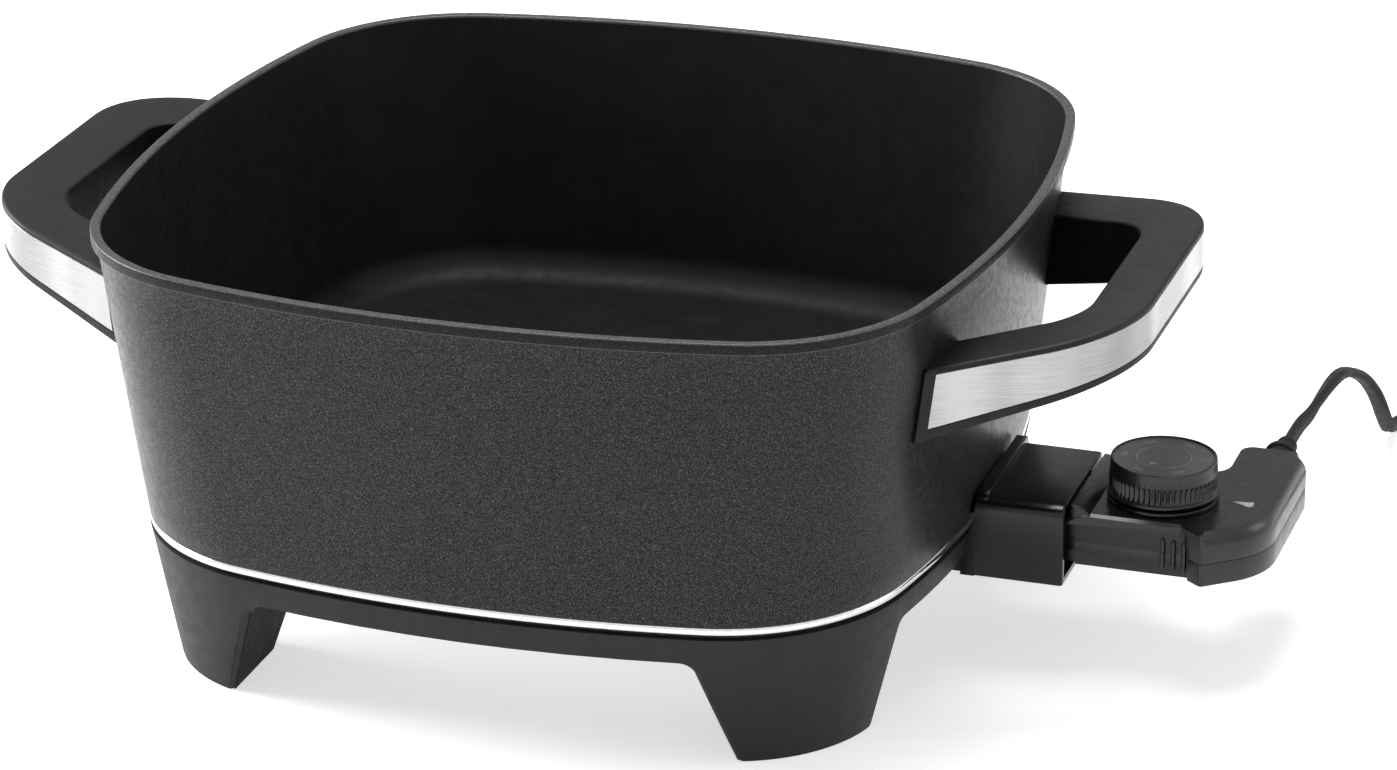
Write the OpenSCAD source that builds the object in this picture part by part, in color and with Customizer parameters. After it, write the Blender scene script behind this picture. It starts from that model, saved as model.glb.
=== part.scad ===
// Electric skillet with a plug-in temperature controller, in millimetres.
// The origin is on the table, under the middle of the pan. +X points at the controller, +Z is up.

/* [Pan] */
// Width across the rim's lip
pan_w = 330; // [300:1:360]
// Height of the rim above the table
pan_h = 167; // [150:1:185]
// Radius of the sides' outward bow
bow_r = 477; // [420:1:700]
// Corner radius at the rim
pan_corner_r = 68; // [60:1:76]
// Width across the outside of the pan's foot
foot_w = 302; // [294:1:308]
// Corner radius at the pan's foot
foot_corner_r = 71; // [62:1:74]
// Height of the rim's lip
lip_h = 4.2; // [3:0.1:7]
// How far the lip stands proud of the wall
lip_out = 2; // [1:0.1:3]
// Width of the rim's flat top
rim_face = 3.7; // [3:0.1:5]
// Wall thickness
pan_wall = 3.2; // [2.5:0.1:4.5]
// Thickness of the floor
floor_t = 5; // [4.5:0.1:7]
// Radius between the floor and the inside wall
floor_fillet = 14; // [8:1:22]

/* [Base] */
// Height of the base's top edge above the table
base_h = 51.2; // [49:0.1:56]
// Width across the feet of the base, on the table
base_foot_w = 281.6; // [274:0.1:290]
// Corner radius of the base on the table
base_corner_r = 55; // [48:1:64]
// Wall thickness of the base
base_wall = 3.2; // [2.5:0.1:4]
// Clearance under the skirt, between the legs
skirt_z = 40.5; // [36:0.1:41]
// Width of the front and back openings between the legs, on the table
front_gap = 190.4; // [185:1:200]
// Width of the side openings between the legs, on the table
side_gap = 174.6; // [168:1:180]
// How much each end of a front or back opening leans in over the skirt's height
front_lean = 13.2; // [8:1:20]
// How much each end of a side opening leans in over the skirt's height
side_lean = 5.6; // [3:1:12]
// Distance of the base's screws from the middle, along X and along Y
base_screw_at = 108; // [105:1:111]

/* [Trim ring] */
// Height of the bright band
trim_h = 2.5; // [1.5:0.1:4]
// Depth of the bright band, from front to back
trim_t = 1.8; // [1.2:0.1:2]
// Dark gap between the base and the bright band
trim_gap = 2; // [1.2:0.1:3]

/* [Handles] */
// How far a handle reaches out from the rim's lip
handle_reach = 53; // [46:1:60]
// Drop of the handle's outer top edge below the rim
handle_drop = 14.7; // [10:0.1:20]
// Length of the handle's outer side, before its corners are rounded
handle_span = 132; // [120:1:140]
// Outside corner radius of the handle
handle_corner_r = 46; // [36:1:50]
// Width of the grip
grip_w = 21.7; // [19:0.1:24]
// Height of the grip at its outer side
grip_h = 18.2; // [16:0.1:22]
// Rise of the handle's top for each millimetre outwards
top_slope = 0.18; // [0.1:0.01:0.22]
// Rise of the handle's underside for each millimetre outwards
under_slope = 0.3; // [0.24:0.01:0.34]
// Thickness of the stainless band
band_t = 1; // [0.6:0.1:1.4]
// Depth of the band's top edge below the handle's top, at the outer side
band_drop = 2; // [1.5:0.1:3]
// Height of the band at the outer side
band_h = 13.9; // [11:0.1:14]

/* [Inlet] */
// Width of the socket guard
guard_w = 57; // [55:0.5:60]
// Height of the socket guard
guard_h = 30.5; // [29:0.5:33]
// Length of the socket guard
guard_l = 32.8; // [28:0.1:38]
// Wall thickness of the socket guard
guard_wall = 2.6; // [2:0.1:3]
// Diameter of the terminal pins
pin_d = 5; // [4:0.1:5.4]
// Distance between the terminal pins
pin_pitch = 17; // [16:0.5:18]
// Diameter of the sheathed heating element
element_d = 6.8; // [6.4:0.1:7.2]
// Half the width of the heating loop, to the middle of the tube
loop_half = 98; // [92:1:99]

/* [Controller] */
// Height of the controller's case
case_h = 20.2; // [19:0.1:24]
// Width of the controller's case at the dial
case_w = 48; // [46:0.5:50]
// Height of the lower shell
lower_h = 8.7; // [8:0.1:9.2]
// Wall thickness of the shells
case_wall = 2.4; // [1.8:0.1:2.6]
// Length of the bent tail beyond the middle of the dial
tail_l = 55; // [52:1:62]
// Diameter of the probe rod
probe_d = 6; // [5.4:0.1:6.4]
// How far the probe reaches from the case into the receiver
probe_reach = 82; // [76:1:90]
// Distance of the dial's axis from the controller's neck end
dial_from_neck = 53; // [52:1:56]
// Diameter of the dial's face
dial_d = 38.6; // [36:0.1:40]
// Height of the dial above its collar
dial_h = 13; // [11:0.1:15]
// Number of ridges round the dial
dial_ridges = 60; // [40:1:72]
// Turn of the dial from off to its highest setting, in degrees
dial_turn = 300; // [270:5:310]
// Push of the cam on its follower over the whole turn
cam_lift = 3; // [2:0.1:3.5]

/* [Cord] */
// Diameter of the cord
cord_d = 6.4; // [6:0.1:6.6]

/* [Hidden] */

$fn = 64;

// Fits and clearances
fit = 0.05;          // radial clearance of a pin or rod in its bore
seat = 0.1;          // clearance round a piece let into another
clear = 0.3;         // clearance between curved faces
eps = 1;             // how far a cutting solid runs past what it cuts
hole_spare = 1;      // how much deeper a screw's hole is than its shank

// Pan
pan_half = pan_w / 2;
bow_c = pan_half - bow_r;                    // centre of a side's bow, from the pan's axis
wall_half = pan_half - lip_out;              // outside of the wall, just under the lip
foot_half = foot_w / 2;
trim_z = base_h + trim_gap;
foot_z = trim_z + trim_h;                    // bottom of the tapered wall
lip_z = pan_h - lip_h;
rim_edge = 0.5;                              // small bevel on the rim
under_z = foot_z + 1.3;                      // underside of the floor
floor_z = under_z + floor_t;
spigot_half = foot_half - trim_t - seat;     // step that the trim ring sits on
spigot_z = base_h + clear;
function wall_at(z) = foot_half + (wall_half - foot_half) * (z - foot_z) / (lip_z - foot_z);
floor_half = wall_at(floor_z + floor_fillet) - pan_wall;

// Base
base_half = foot_half;
base_foot_half = base_foot_w / 2;
deck_t = 3;
deck_z = skirt_z + deck_t;                   // top of the deck inside the base
deck_open = 100;                             // half width of the deck's opening
deck_open_r = 52;
boss_d = 14;
base_screw_r = 2.5;
base_screw_bite = 10;                        // length of the shank in the pan's boss
skirt_round = 7;                             // rounding where a leg meets the skirt
leg_bevel = 6;                               // bevel on the leg's inner corner
pad_t = 9;                                   // depth of the pad behind the socket guard
function base_half_at(z) = base_foot_half + (base_half - base_foot_half) * z / base_h;
function base_corner_at(z) = base_corner_r + (foot_corner_r - base_corner_r) * z / base_h;

// Heat shield
shield_t = 0.8;
shield_half = 112;
shield_r = 60;
shield_screw_at = [[0, 106], [0, -106], [-106, 0], [106, 34]];

// Element and terminals
element_r = element_d / 2;
axis_z = under_z - element_r - clear;        // height of the element, the pins and the probe
bend_r = 26;                                 // bends at the loop's corners
entry_r = 20;                                // bends at the loop's two ends
element_end = 134;                           // where the sheath stops and the pins start
pin_r = pin_d / 2;
pin_y = pin_pitch / 2;
clip_w = 10;
clip_t = 1.2;
clip_ear = 9;
clip_screw_r = 1.7;
clip_bite = 3;                               // length of the shank in the pan's floor
clip_hole = clip_bite + 0.2;

// Socket guard
pad_x = wall_at(foot_z) + 1.6;               // face of the base's pad that the guard sits on
guard_end = pad_x + guard_l;
guard_z = axis_z - 18.3;
guard_top = guard_z + guard_h;
flange_t = 4.4;
flange_out = 2;
flange_h = 4;                                // how far the collar comes down the guard's sides
guard_back = 3;
guard_screw_r = 1.7;
guard_screw_bite = 7;
guard_screw_at = [[-guard_w / 2 + 8, axis_z - 7.2], [guard_w / 2 - 8, axis_z - 7.2]];
inlet_half = pin_y + element_r + 1.5;        // half width of the notch for the terminals

// Probe and receiver
case_z = axis_z - 11;                        // underside of the controller
case_top = case_z + case_h;
seam_z = case_z + lower_h;
neck_x = pad_x + guard_back + 6.4;           // end of the neck, inside the guard
probe_r = probe_d / 2;
probe_tip = neck_x - probe_reach;
receiver_x = probe_tip - 2;                  // inner end of the receiver
receiver_l = element_end + 2 - receiver_x;
receiver_r = probe_r + 1.5;
ear_l = 12;
ear_t = 2;
ear_w = 14;                                  // how far each ear reaches from the probe's axis

// Handles
handle_x = pan_half + handle_reach;
handle_top = pan_h - handle_drop;
arm_spread = 0.4235;                         // how fast the arms splay towards the pan
opening_spread = 0.4514;
opening_r = 22;
opening_half = handle_span / 2 - 18.5;
arm_in = foot_half - 11;                     // where the arms' outlines start, inside the pan
band_under_slope = under_slope - 0.02;
band_end_gap = 4;                            // from the pan's wall to the band's ends
lug_w = 12;
lug_h = 8.4;
lug_out = 17;                                // reach of a lug from the pan's side
lug_y = opening_half + 30.5;
lug_z = handle_top - 24.6;
lug_x = bow_c + sqrt(pow(wall_at(lug_z) - bow_c, 2) - lug_y * lug_y);
handle_screw_r = 2;
handle_screw_x = lug_x + lug_out - 5;
handle_screw_head_r = 3.6;
handle_screw_head_h = 2.2;
handle_screw_l = 8.5;
handle_seat_t = 2;                           // plastic between a screw's head and its lug
function handle_top_at(x) = handle_top - top_slope * (handle_x - x);
function handle_under_at(x) = handle_top - grip_h - under_slope * (handle_x - x);

// Controller case
case_half = case_w / 2;
neck_half = 15;
shoulder_x = neck_x + 30.6;                  // where the neck's bevel meets the full width
shoulder_l = 7.1;
dial_x = neck_x + dial_from_neck;
tail_in = dial_x + 17;                       // inner side of the tail
tail_out = dial_x + 42;                      // outer side of the tail
case_edge = 3.5;                             // rounding at the case's top edge
case_foot_edge = 1.2;
case_corners = [
    [neck_x, -case_half], [dial_x + 13, -case_half], [dial_x + 21, -case_half - 6],
    [tail_out, -case_half + 11], [tail_out, tail_l], [tail_in, tail_l],
    [tail_in, case_half + 1.5], [guard_end + 2, case_half + 7.5], [guard_end + 2, case_half],
    [neck_x, case_half]
];
case_rounds = [2, 4, 2, 28, 3, 4, 9, 3, 0.5, 2];
case_steps = 8;
case_hub = [(tail_in + tail_out) / 2, 0];    // seen from every corner of the case
gland_x = dial_x + 29;
gland_z = axis_z + 1.7;
gland_r = 5.5;
gland_neck_r = 3.6;
gland_flange_r = case_top - case_wall - gland_z - 2 * seat;
gland_flange_t = 2.6;
gland_l = 20;
case_screw_at = [
    [neck_x + 40, -case_half + 7], [neck_x + 40, case_half - 7], [tail_out - 6.4, tail_l - 20]
];
case_post_r = 3.2;
case_screw_r = 1.5;
case_screw_bite = 6;
case_screw_sink = 2.2;                       // depth of the recess round a screw's head

// Dial
dial_r = dial_d / 2;
collar_h = 2.7;
dial_z = case_top + collar_h + clear;
ridge_h = 0.6;
shaft_r = 3;
pivot_r = 2;
cam_r = 5.5;
cam_z = axis_z + 0.8;
cam_t = 3;
cam_steps = 36;
follower_r = 2;
follower_l = 15;

// Inside the controller
inside_z = case_z + case_wall;
inside_top = case_top - case_wall;
block_l = 18;
block_x = neck_x + case_wall + seat;
sleeve_r = pin_r + 0.7;
sleeve_fit = 0.09;
frame_t = 1.2;
frame_x = block_x + block_l + 5;
frame_z = inside_z + 2;
frame_w = 18;
upright_w = 9;                               // width of the upright that holds the probe
guide_x = dial_x - 17;
lamp_r = 2.2;
lens_at = [dial_x + 29, 2];
lens_l = 7.4;
lens_w = 2.6;
lens_z = case_top - case_wall - 0.6;

// Cord
cord_r = cord_d / 2;
cord_sides = 10;
cord_route = [
    [244, 75, 55], [244, 84, 55], [244, 95, 56], [246, 106, 56], [247, 117, 57], [248, 129, 58],
    [249, 141, 58], [250, 152, 56], [252, 162, 52], [254, 172, 46], [256, 181, 38], [257, 190, 29],
    [257, 200, 20], [257, 211, 11], [256, 223, 5.5], [258, 234, 4], [262, 242, 4], [268, 249, 4],
    [276, 253, 4], [285, 255, 4], [294, 256, 4]
];
coil_at = [312, 219];
coil_lift = 0.8;
coil_mid = 34;                               // radius of the coil at the middle of its turns
coil_h = 11.8;
tail_route = [
    [346, 199, 9], [346, 193, 9], [346, 187, 8], [346, 182, 8]
];
plug_at = tail_route[3];
plug_l = 36;
blade_l = 16;
blade_gap = 12.7;

// ---------------------------------------------------------------- outlines

function unit(v) = v / norm(v);
function left_of(v) = [-v[1], v[0]];
function turn(a, b) = a[0] * b[1] - a[1] * b[0];
function before(p, i) = p[(i + len(p) - 1) % len(p)];
function after(p, i) = p[(i + 1) % len(p)];

// Corners of a polygon, drawn anticlockwise, with every side moved in by d
function moved_in(p, d) = [
    for (i = [0 : len(p) - 1])
        let (u = left_of(unit(p[i] - before(p, i))), v = left_of(unit(after(p, i) - p[i])))
            p[i] + (u + v) * d / (1 + u * v)
];

// One corner b, between a and c, rounded with radius r in so many steps
function corner_arc(a, b, c, r, steps) =
    let (
        u = unit(a - b), v = unit(c - b), half = acos(u * v) / 2,
        centre = b + unit(u + v) * r / sin(half),
        start = b + u * r / tan(half) - centre,
        way = turn(b - a, c - b) > 0 ? 1 : -1
    )
    [for (k = [0 : steps])
        let (t = way * (180 - 2 * half) * k / steps)
            centre + [start[0] * cos(t) - start[1] * sin(t), start[0] * sin(t) + start[1] * cos(t)]];

// Polygon with each corner rounded, moved in by d with the roundings kept concentric
function shape(p, r, d = 0, steps = 8) =
    let (q = moved_in(p, d))
    [for (i = [0 : len(p) - 1])
        let (way = turn(p[i] - before(p, i), after(p, i) - p[i]) > 0 ? 1 : -1)
            each corner_arc(before(q, i), q[i], after(q, i), max(r[i] - way * d, 0.3), steps)];

function box_corners(x0, x1, y0, y1) = [[x0, y0], [x1, y0], [x1, y1], [x0, y1]];
function same(r) = [r, r, r, r];

// Square with bowed sides and rounded corners: half its width, and its corner radius
side_steps = 4;
corner_steps = 12;
function bowed_square(half, r) =
    let (
        reach = half - bow_c - r,
        c = (bow_c + sqrt(2 * reach * reach - bow_c * bow_c)) / 2,
        lean = atan2(c, c - bow_c),
        quarter = [
            for (k = [0 : side_steps - 1])
                [bow_c + (half - bow_c) * cos(lean * k / side_steps),
                 (half - bow_c) * sin(lean * k / side_steps)],
            for (k = [0 : corner_steps])
                let (t = lean + (90 - 2 * lean) * k / corner_steps)
                    [c + r * cos(t), c + r * sin(t)],
            for (k = [side_steps - 1 : -1 : 1])
                [(half - bow_c) * sin(lean * k / side_steps),
                 bow_c + (half - bow_c) * cos(lean * k / side_steps)]
        ]
    )
    [for (q = [0 : 3], p = quarter)
        q == 0 ? p : q == 1 ? [-p[1], p[0]] : q == 2 ? [-p[0], -p[1]] : [p[1], -p[0]]];

// Closed solid through outlines of equal point counts: each ring is [outline, height].
// The outline of a bent shape needs a hub, a point from which all of its corners are seen.
module loft(rings, hub = undef) {
    n = len(rings[0][0]);
    last = len(rings) - 1;
    flat = is_undef(hub);
    low_hub = (last + 1) * n;
    high_hub = low_hub + 1;
    points = [
        for (ring = rings, p = ring[0]) [p[0], p[1], ring[1]],
        if (!flat) each [[hub[0], hub[1], rings[0][1]], [hub[0], hub[1], rings[last][1]]]
    ];
    faces = [
        if (flat) each [[for (i = [0 : n - 1]) i], [for (i = [n - 1 : -1 : 0]) last * n + i]],
        if (!flat) for (i = [0 : n - 1])
            let (j = (i + 1) % n)
                each [[i, j, low_hub], [last * n + j, last * n + i, high_hub]],
        for (k = [0 : last - 1], i = [0 : n - 1])
            let (j = (i + 1) % n)
                each [[k * n + i, (k + 1) * n + i, k * n + j],
                      [k * n + j, (k + 1) * n + i, (k + 1) * n + j]]
    ];
    polyhedron(points = points, faces = faces, convexity = 10);
}

// Tube of radius r swept along a route
module swept(route, r, sides) {
    last = len(route) - 1;
    rings = [for (i = [0 : last])
        let (
            t = unit(route[min(i + 1, last)] - route[max(i - 1, 0)]),
            side = unit(cross(t, [0, 0, 1])),
            up = cross(side, t)
        )
        [for (k = [0 : sides - 1])
            let (a = 360 * k / sides) route[i] + r * (cos(a) * side + sin(a) * up)]];
    points = [for (ring = rings, p = ring) p];
    faces = [
        [for (k = [sides - 1 : -1 : 0]) k],
        [for (k = [0 : sides - 1]) last * sides + k],
        for (i = [0 : last - 1], k = [0 : sides - 1])
            let (j = (k + 1) % sides)
                each [[i * sides + k, i * sides + j, (i + 1) * sides + k],
                      [i * sides + j, (i + 1) * sides + j, (i + 1) * sides + k]]
    ];
    polyhedron(points = points, faces = faces, convexity = 10);
}

module along_x(x, y, z, r, l) {
    translate([x, y, z])
        rotate([0, 90, 0])
            cylinder(h = l, r = r);
}

module on_four(at) {
    for (sx = [-1, 1], sy = [-1, 1])
        translate([sx * at, sy * at, 0])
            children();
}

// Screw pointing up: head below z = 0, shank above
module screw(r, l, head_r, head_h) {
    translate([0, 0, -head_h])
        difference() {
            cylinder(h = head_h, r = head_r);
            for (a = [0, 90])
                rotate([0, 0, a])
                    translate([-head_r * 0.6, -head_r * 0.1, -eps])
                        cube([head_r * 1.2, head_r * 0.2, eps + head_h * 0.4]);
        }
    cylinder(h = l, r = r);
}

// ---------------------------------------------------------------- pan and base

module pan() {
    in_r = 3.2;
    color("#33363a")
        difference() {
            union() {
                loft([
                    [bowed_square(spigot_half - pan_wall, foot_corner_r - 6), under_z],
                    [bowed_square(spigot_half - pan_wall, foot_corner_r - 6), spigot_z],
                    [bowed_square(spigot_half, foot_corner_r - 2), spigot_z],
                    [bowed_square(spigot_half, foot_corner_r - 2), foot_z],
                    [bowed_square(foot_half, foot_corner_r), foot_z],
                    [bowed_square(wall_half, pan_corner_r), lip_z],
                    [bowed_square(pan_half, pan_corner_r + lip_out), lip_z + rim_edge],
                    [bowed_square(pan_half, pan_corner_r + lip_out), pan_h - rim_edge],
                    [bowed_square(pan_half - rim_edge, pan_corner_r + lip_out), pan_h],
                    [bowed_square(pan_half - rim_face + rim_edge, pan_corner_r - in_r + rim_edge), pan_h],
                    [bowed_square(pan_half - rim_face, pan_corner_r - in_r), pan_h - rim_edge],
                    for (k = [0 : 5])
                        let (a = 90 * k / 5, in = floor_fillet * (1 - cos(a)))
                            [bowed_square(floor_half - in, foot_corner_r - in_r - in),
                             floor_z + floor_fillet * (1 - sin(a))]
                ]);
                on_four(base_screw_at)
                    translate([0, 0, deck_z])
                        cylinder(h = under_z - deck_z + eps, d = boss_d);
                for (sx = [-1, 1], sy = [-1, 1])
                    pan_lug(sx, sy);
            }
            on_four(base_screw_at)
                translate([0, 0, deck_z - eps])
                    cylinder(h = eps + base_screw_bite + hole_spare, r = base_screw_r + fit);
            at_handle_screws()
                cylinder(h = lug_h, r = handle_screw_r + fit);
            at_clip_screws()
                translate([0, 0, -eps])
                    cylinder(h = clip_hole + eps, r = clip_screw_r + fit);
            at_receiver_screws()
                translate([0, 0, -eps])
                    cylinder(h = clip_hole + eps, r = clip_screw_r + fit);
            translate([loop_half, -inlet_half, spigot_z - eps])
                cube([foot_half, 2 * inlet_half, under_z - spigot_z + eps]);
        }
}

// Cast lug that a handle arm fits over
module pan_lug(sx, sy) {
    root = pan_wall / 2;
    mirror([sx < 0 ? 1 : 0, 0, 0])
        translate([lug_x - root, sy * lug_y - lug_w / 2, lug_z - lug_h / 2])
            cube([root + lug_out, lug_w, lug_h]);
}

// Each handle screw's place, at the underside of its lug
module at_handle_screws() {
    for (sx = [-1, 1], sy = [-1, 1])
        translate([sx * handle_screw_x, sy * lug_y, lug_z - lug_h / 2 - eps])
            children();
}

module trim_ring() {
    color("#d8d8d6")
        difference() {
            loft([
                [bowed_square(foot_half, foot_corner_r), trim_z],
                [bowed_square(foot_half + 0.2, foot_corner_r), trim_z + trim_h / 2],
                [bowed_square(foot_half, foot_corner_r), foot_z]
            ]);
            loft([
                [bowed_square(spigot_half + seat, foot_corner_r - 1.9), trim_z - eps],
                [bowed_square(spigot_half + seat, foot_corner_r - 1.9), foot_z + eps]
            ]);
            translate([loop_half, -inlet_half, trim_z - eps])
                cube([foot_half, 2 * inlet_half, trim_h + 2 * eps]);
        }
}

// Tapered solid of the base, moved in by d, with its top at z
module base_block(d, z0, z1) {
    loft([for (z = [z0, z1])
        [bowed_square(base_half_at(z) - d, base_corner_at(z) - d * 0.7), z]]);
}

// Opening under the skirt, right through along Y
module skirt_opening(gap, lean, l) {
    slope = lean / skirt_z;
    low = gap / 2 + slope * eps;
    top = gap / 2 - lean;
    corners = [[-low, -eps], [low, -eps], [top, skirt_z], [-top, skirt_z]];
    rotate([90, 0, 0])
        translate([0, 0, -l / 2])
            linear_extrude(l)
                polygon(shape(corners, [0.3, 0.3, skirt_round, skirt_round]));
}

// Inside of the corner legs, moved in by d from their inner faces
module leg_zone(d) {
    x = front_gap / 2;
    y = side_gap / 2;
    far = base_half + 2;
    in_x = front_lean / skirt_z;
    in_y = side_lean / skirt_z;
    for (sx = [0, 1], sy = [0, 1])
        mirror([sx, 0, 0])
            mirror([0, sy, 0])
                loft([for (z = [-eps, deck_z - eps / 2])
                    let (x0 = x - in_x * z + d, y0 = y - in_y * z + d, c = leg_bevel)
                        [[[x0 + c, y0], [far, y0], [far, far], [x0, far], [x0, y0 + c]], z]]);
}

module base() {
    color("#26272a")
        difference() {
            union() {
                difference() {
                    base_block(0, 0, base_h);
                    base_block(base_wall, -eps, base_h + eps);
                    skirt_opening(front_gap, front_lean, 3 * base_half);
                    rotate([0, 0, 90])
                        skirt_opening(side_gap, side_lean, 3 * base_half);
                }
                intersection() {
                    base_block(base_wall / 2, 0, base_h);
                    difference() {
                        leg_zone(0);
                        leg_zone(base_wall);
                    }
                }
                difference() {
                    base_block(base_wall / 2, skirt_z, deck_z);
                    loft([for (z = [skirt_z - eps, deck_z + eps])
                        [bowed_square(deck_open, deck_open_r), z]]);
                }
                translate([base_half - pad_t, -guard_w / 2, guard_z])
                    cube([pad_x - base_half + pad_t, guard_w, base_h - guard_z]);
            }
            translate([loop_half, -inlet_half, deck_z])
                cube([base_half, 2 * inlet_half, base_h]);
            on_four(base_screw_at)
                translate([0, 0, skirt_z - eps])
                    cylinder(h = deck_t + 2 * eps, r = base_screw_r + fit);
            for (at = guard_screw_at)
                along_x(pad_x - guard_screw_bite - hole_spare, at[0], at[1], guard_screw_r + fit,
                        guard_screw_bite + hole_spare + eps);
            for (at = shield_screw_at)
                translate([at[0], at[1], skirt_z - eps])
                    cylinder(h = deck_t + 2 * eps, r = clip_screw_r + fit);
        }
}

module base_screws() {
    color("#8f9296")
        on_four(base_screw_at)
            translate([0, 0, skirt_z])
                screw(base_screw_r, deck_t + base_screw_bite, 4.5, 3.2);
}

// ---------------------------------------------------------------- heater and inlet

module heat_shield() {
    color("#a9abad")
        difference() {
            loft([for (z = [deck_z, deck_z + shield_t])
                [bowed_square(shield_half, shield_r), z]]);
            for (at = shield_screw_at)
                translate([at[0], at[1], deck_z - eps])
                    cylinder(h = shield_t + 2 * eps, r = clip_screw_r + fit);
        }
}

module shield_screws() {
    color("#8f9296")
        for (at = shield_screw_at)
            translate([at[0], at[1], deck_z + shield_t])
                mirror([0, 0, 1])
                    screw(clip_screw_r, deck_t + shield_t - 0.2, 3, 1.8);
}

// Quarter bend of the sheath about a centre, from a start angle
module sheath_bend(x, y, r, from) {
    translate([x, y, axis_z])
        rotate([0, 0, from])
            rotate_extrude(angle = 90)
                translate([r, 0])
                    circle(r = element_r);
}

module sheath_run(a, b) {
    way = unit(b - a);
    translate([a[0], a[1], axis_z])
        rotate([0, 0, atan2(way[1], way[0])])
            rotate([0, 90, 0])
                cylinder(h = norm(b - a), r = element_r);
}

module heating_element() {
    inner = loop_half - bend_r;
    turn_x = loop_half + entry_r;
    color("#6f6a64")
        for (side = [0, 1])
            mirror([0, side, 0]) {
                sheath_run([turn_x, pin_y], [element_end, pin_y]);
                sheath_bend(turn_x, pin_y + entry_r, entry_r, 180);
                sheath_run([loop_half, pin_y + entry_r], [loop_half, inner]);
                sheath_bend(inner, inner, bend_r, 0);
                sheath_run([0, loop_half], [inner, loop_half]);
                sheath_run([-inner, loop_half], [0, loop_half]);
                sheath_bend(-inner, inner, bend_r, 90);
                sheath_run([-loop_half, 0], [-loop_half, inner]);
            }
}

// Places of the four clips: on each side of the loop, with their ears inwards
clip_at = [[0, loop_half, 0], [0, -loop_half, 180], [-loop_half, 0, 90], [loop_half, 50, -90]];

module at_clips() {
    for (at = clip_at)
        translate([at[0], at[1], 0])
            rotate([0, 0, at[2]])
                children();
}

module at_clip_screws() {
    at_clips()
        translate([0, -element_r - clip_t - clip_ear / 2, under_z])
            children();
}

module element_clips() {
    outer = element_r + seat + clip_t;
    color("#b4b6b8")
        at_clips()
            difference() {
                union() {
                    translate([-clip_w / 2, 0, axis_z])
                        rotate([0, 90, 0])
                            cylinder(h = clip_w, r = outer);
                    translate([-clip_w / 2, -outer, axis_z])
                        cube([clip_w, 2 * outer, under_z - axis_z]);
                    translate([-clip_w / 2, -outer - clip_ear, under_z - clip_t])
                        cube([clip_w, clip_ear + eps, clip_t]);
                }
                translate([-clip_w / 2 - eps, 0, axis_z])
                    rotate([0, 90, 0])
                        cylinder(h = clip_w + 2 * eps, r = element_r + seat);
                translate([-clip_w / 2 - eps, -element_r - seat, axis_z])
                    cube([clip_w + 2 * eps, 2 * (element_r + seat), under_z - axis_z + eps]);
                translate([-clip_w, -outer, under_z])
                    cube([2 * clip_w, 2 * outer, outer]);
                translate([0, -element_r - clip_t - clip_ear / 2, under_z - clip_t - eps])
                    cylinder(h = clip_t + 2 * eps, r = clip_screw_r + fit);
            }
}

module clip_screws() {
    color("#8f9296")
        at_clip_screws()
            translate([0, 0, -clip_t])
                screw(clip_screw_r, clip_t + clip_bite, 3, 1.8);
}

module terminal_pins() {
    color("#c9ccd0")
        for (side = [-1, 1]) {
            along_x(element_end, side * pin_y, axis_z, pin_r, block_x + block_l - 4 - element_end);
            translate([block_x + block_l - 4, side * pin_y, axis_z])
                sphere(r = pin_r);
        }
}

module pin_insulators() {
    start = element_end + seat;
    l = pad_x + guard_back + eps - start;
    color("#e6e2d8")
        for (side = [-1, 1])
            difference() {
                along_x(start, side * pin_y, axis_z, element_r, l);
                along_x(element_end, side * pin_y, axis_z, pin_r + fit, guard_l);
            }
}

module probe_receiver() {
    color("#9a9da0")
        difference() {
            union() {
                along_x(receiver_x, 0, axis_z, receiver_r, receiver_l);
                translate([receiver_x, -receiver_r, axis_z])
                    cube([receiver_l, 2 * receiver_r, under_z - axis_z]);
                translate([receiver_x, -ear_w, under_z - ear_t])
                    cube([ear_l, 2 * ear_w, ear_t]);
            }
            translate([receiver_x - eps, -receiver_r - eps, under_z])
                cube([receiver_l + 2 * eps, 2 * (receiver_r + eps), receiver_r]);
            along_x(receiver_x - eps, 0, axis_z, probe_r + fit, receiver_l + 2 * eps);
            at_receiver_screws()
                translate([0, 0, -ear_t - eps])
                    cylinder(h = ear_t + 2 * eps, r = clip_screw_r + fit);
        }
}

module at_receiver_screws() {
    for (side = [-1, 1])
        translate([receiver_x + ear_l / 2, side * (ear_w - 4), under_z])
            children();
}

module receiver_screws() {
    color("#8f9296")
        at_receiver_screws()
            translate([0, 0, -ear_t])
                screw(clip_screw_r, ear_t + clip_bite, 3, 1.8);
}

// Section of the socket guard in Y and Z, as a solid along X
module guard_prism(d, x0, x1) {
    corners = box_corners(-guard_w / 2, guard_w / 2, guard_z, guard_top);
    rotate([90, 0, 90])
        translate([0, 0, x0])
            linear_extrude(x1 - x0)
                polygon(shape(corners, [2, 2, 5, 5], d, 6));
}

module socket_guard() {
    color("#141416")
        difference() {
            union() {
                guard_prism(0, pad_x, guard_end);
                intersection() {
                    guard_prism(-flange_out, pad_x, pad_x + flange_t);
                    translate([pad_x - eps, -guard_w, guard_top - flange_h])
                        cube([flange_t + 2 * eps, 2 * guard_w, flange_h + 2 * flange_out]);
                }
            }
            guard_prism(guard_wall, pad_x + guard_back, guard_end + eps);
            for (side = [-1, 1])
                along_x(pad_x - eps, side * pin_y, axis_z, element_r + clear, guard_back + 2 * eps);
            along_x(pad_x - eps, 0, axis_z, probe_r + clear, guard_back + 2 * eps);
            for (at = guard_screw_at)
                along_x(pad_x - eps, at[0], at[1], guard_screw_r + fit, guard_back + 2 * eps);
        }
}

module guard_screws() {
    color("#8f9296")
        for (at = guard_screw_at)
            translate([pad_x + guard_back, at[0], at[1]])
                rotate([0, -90, 0])
                    screw(guard_screw_r, guard_back + guard_screw_bite, 3, 1.8);
}

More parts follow.
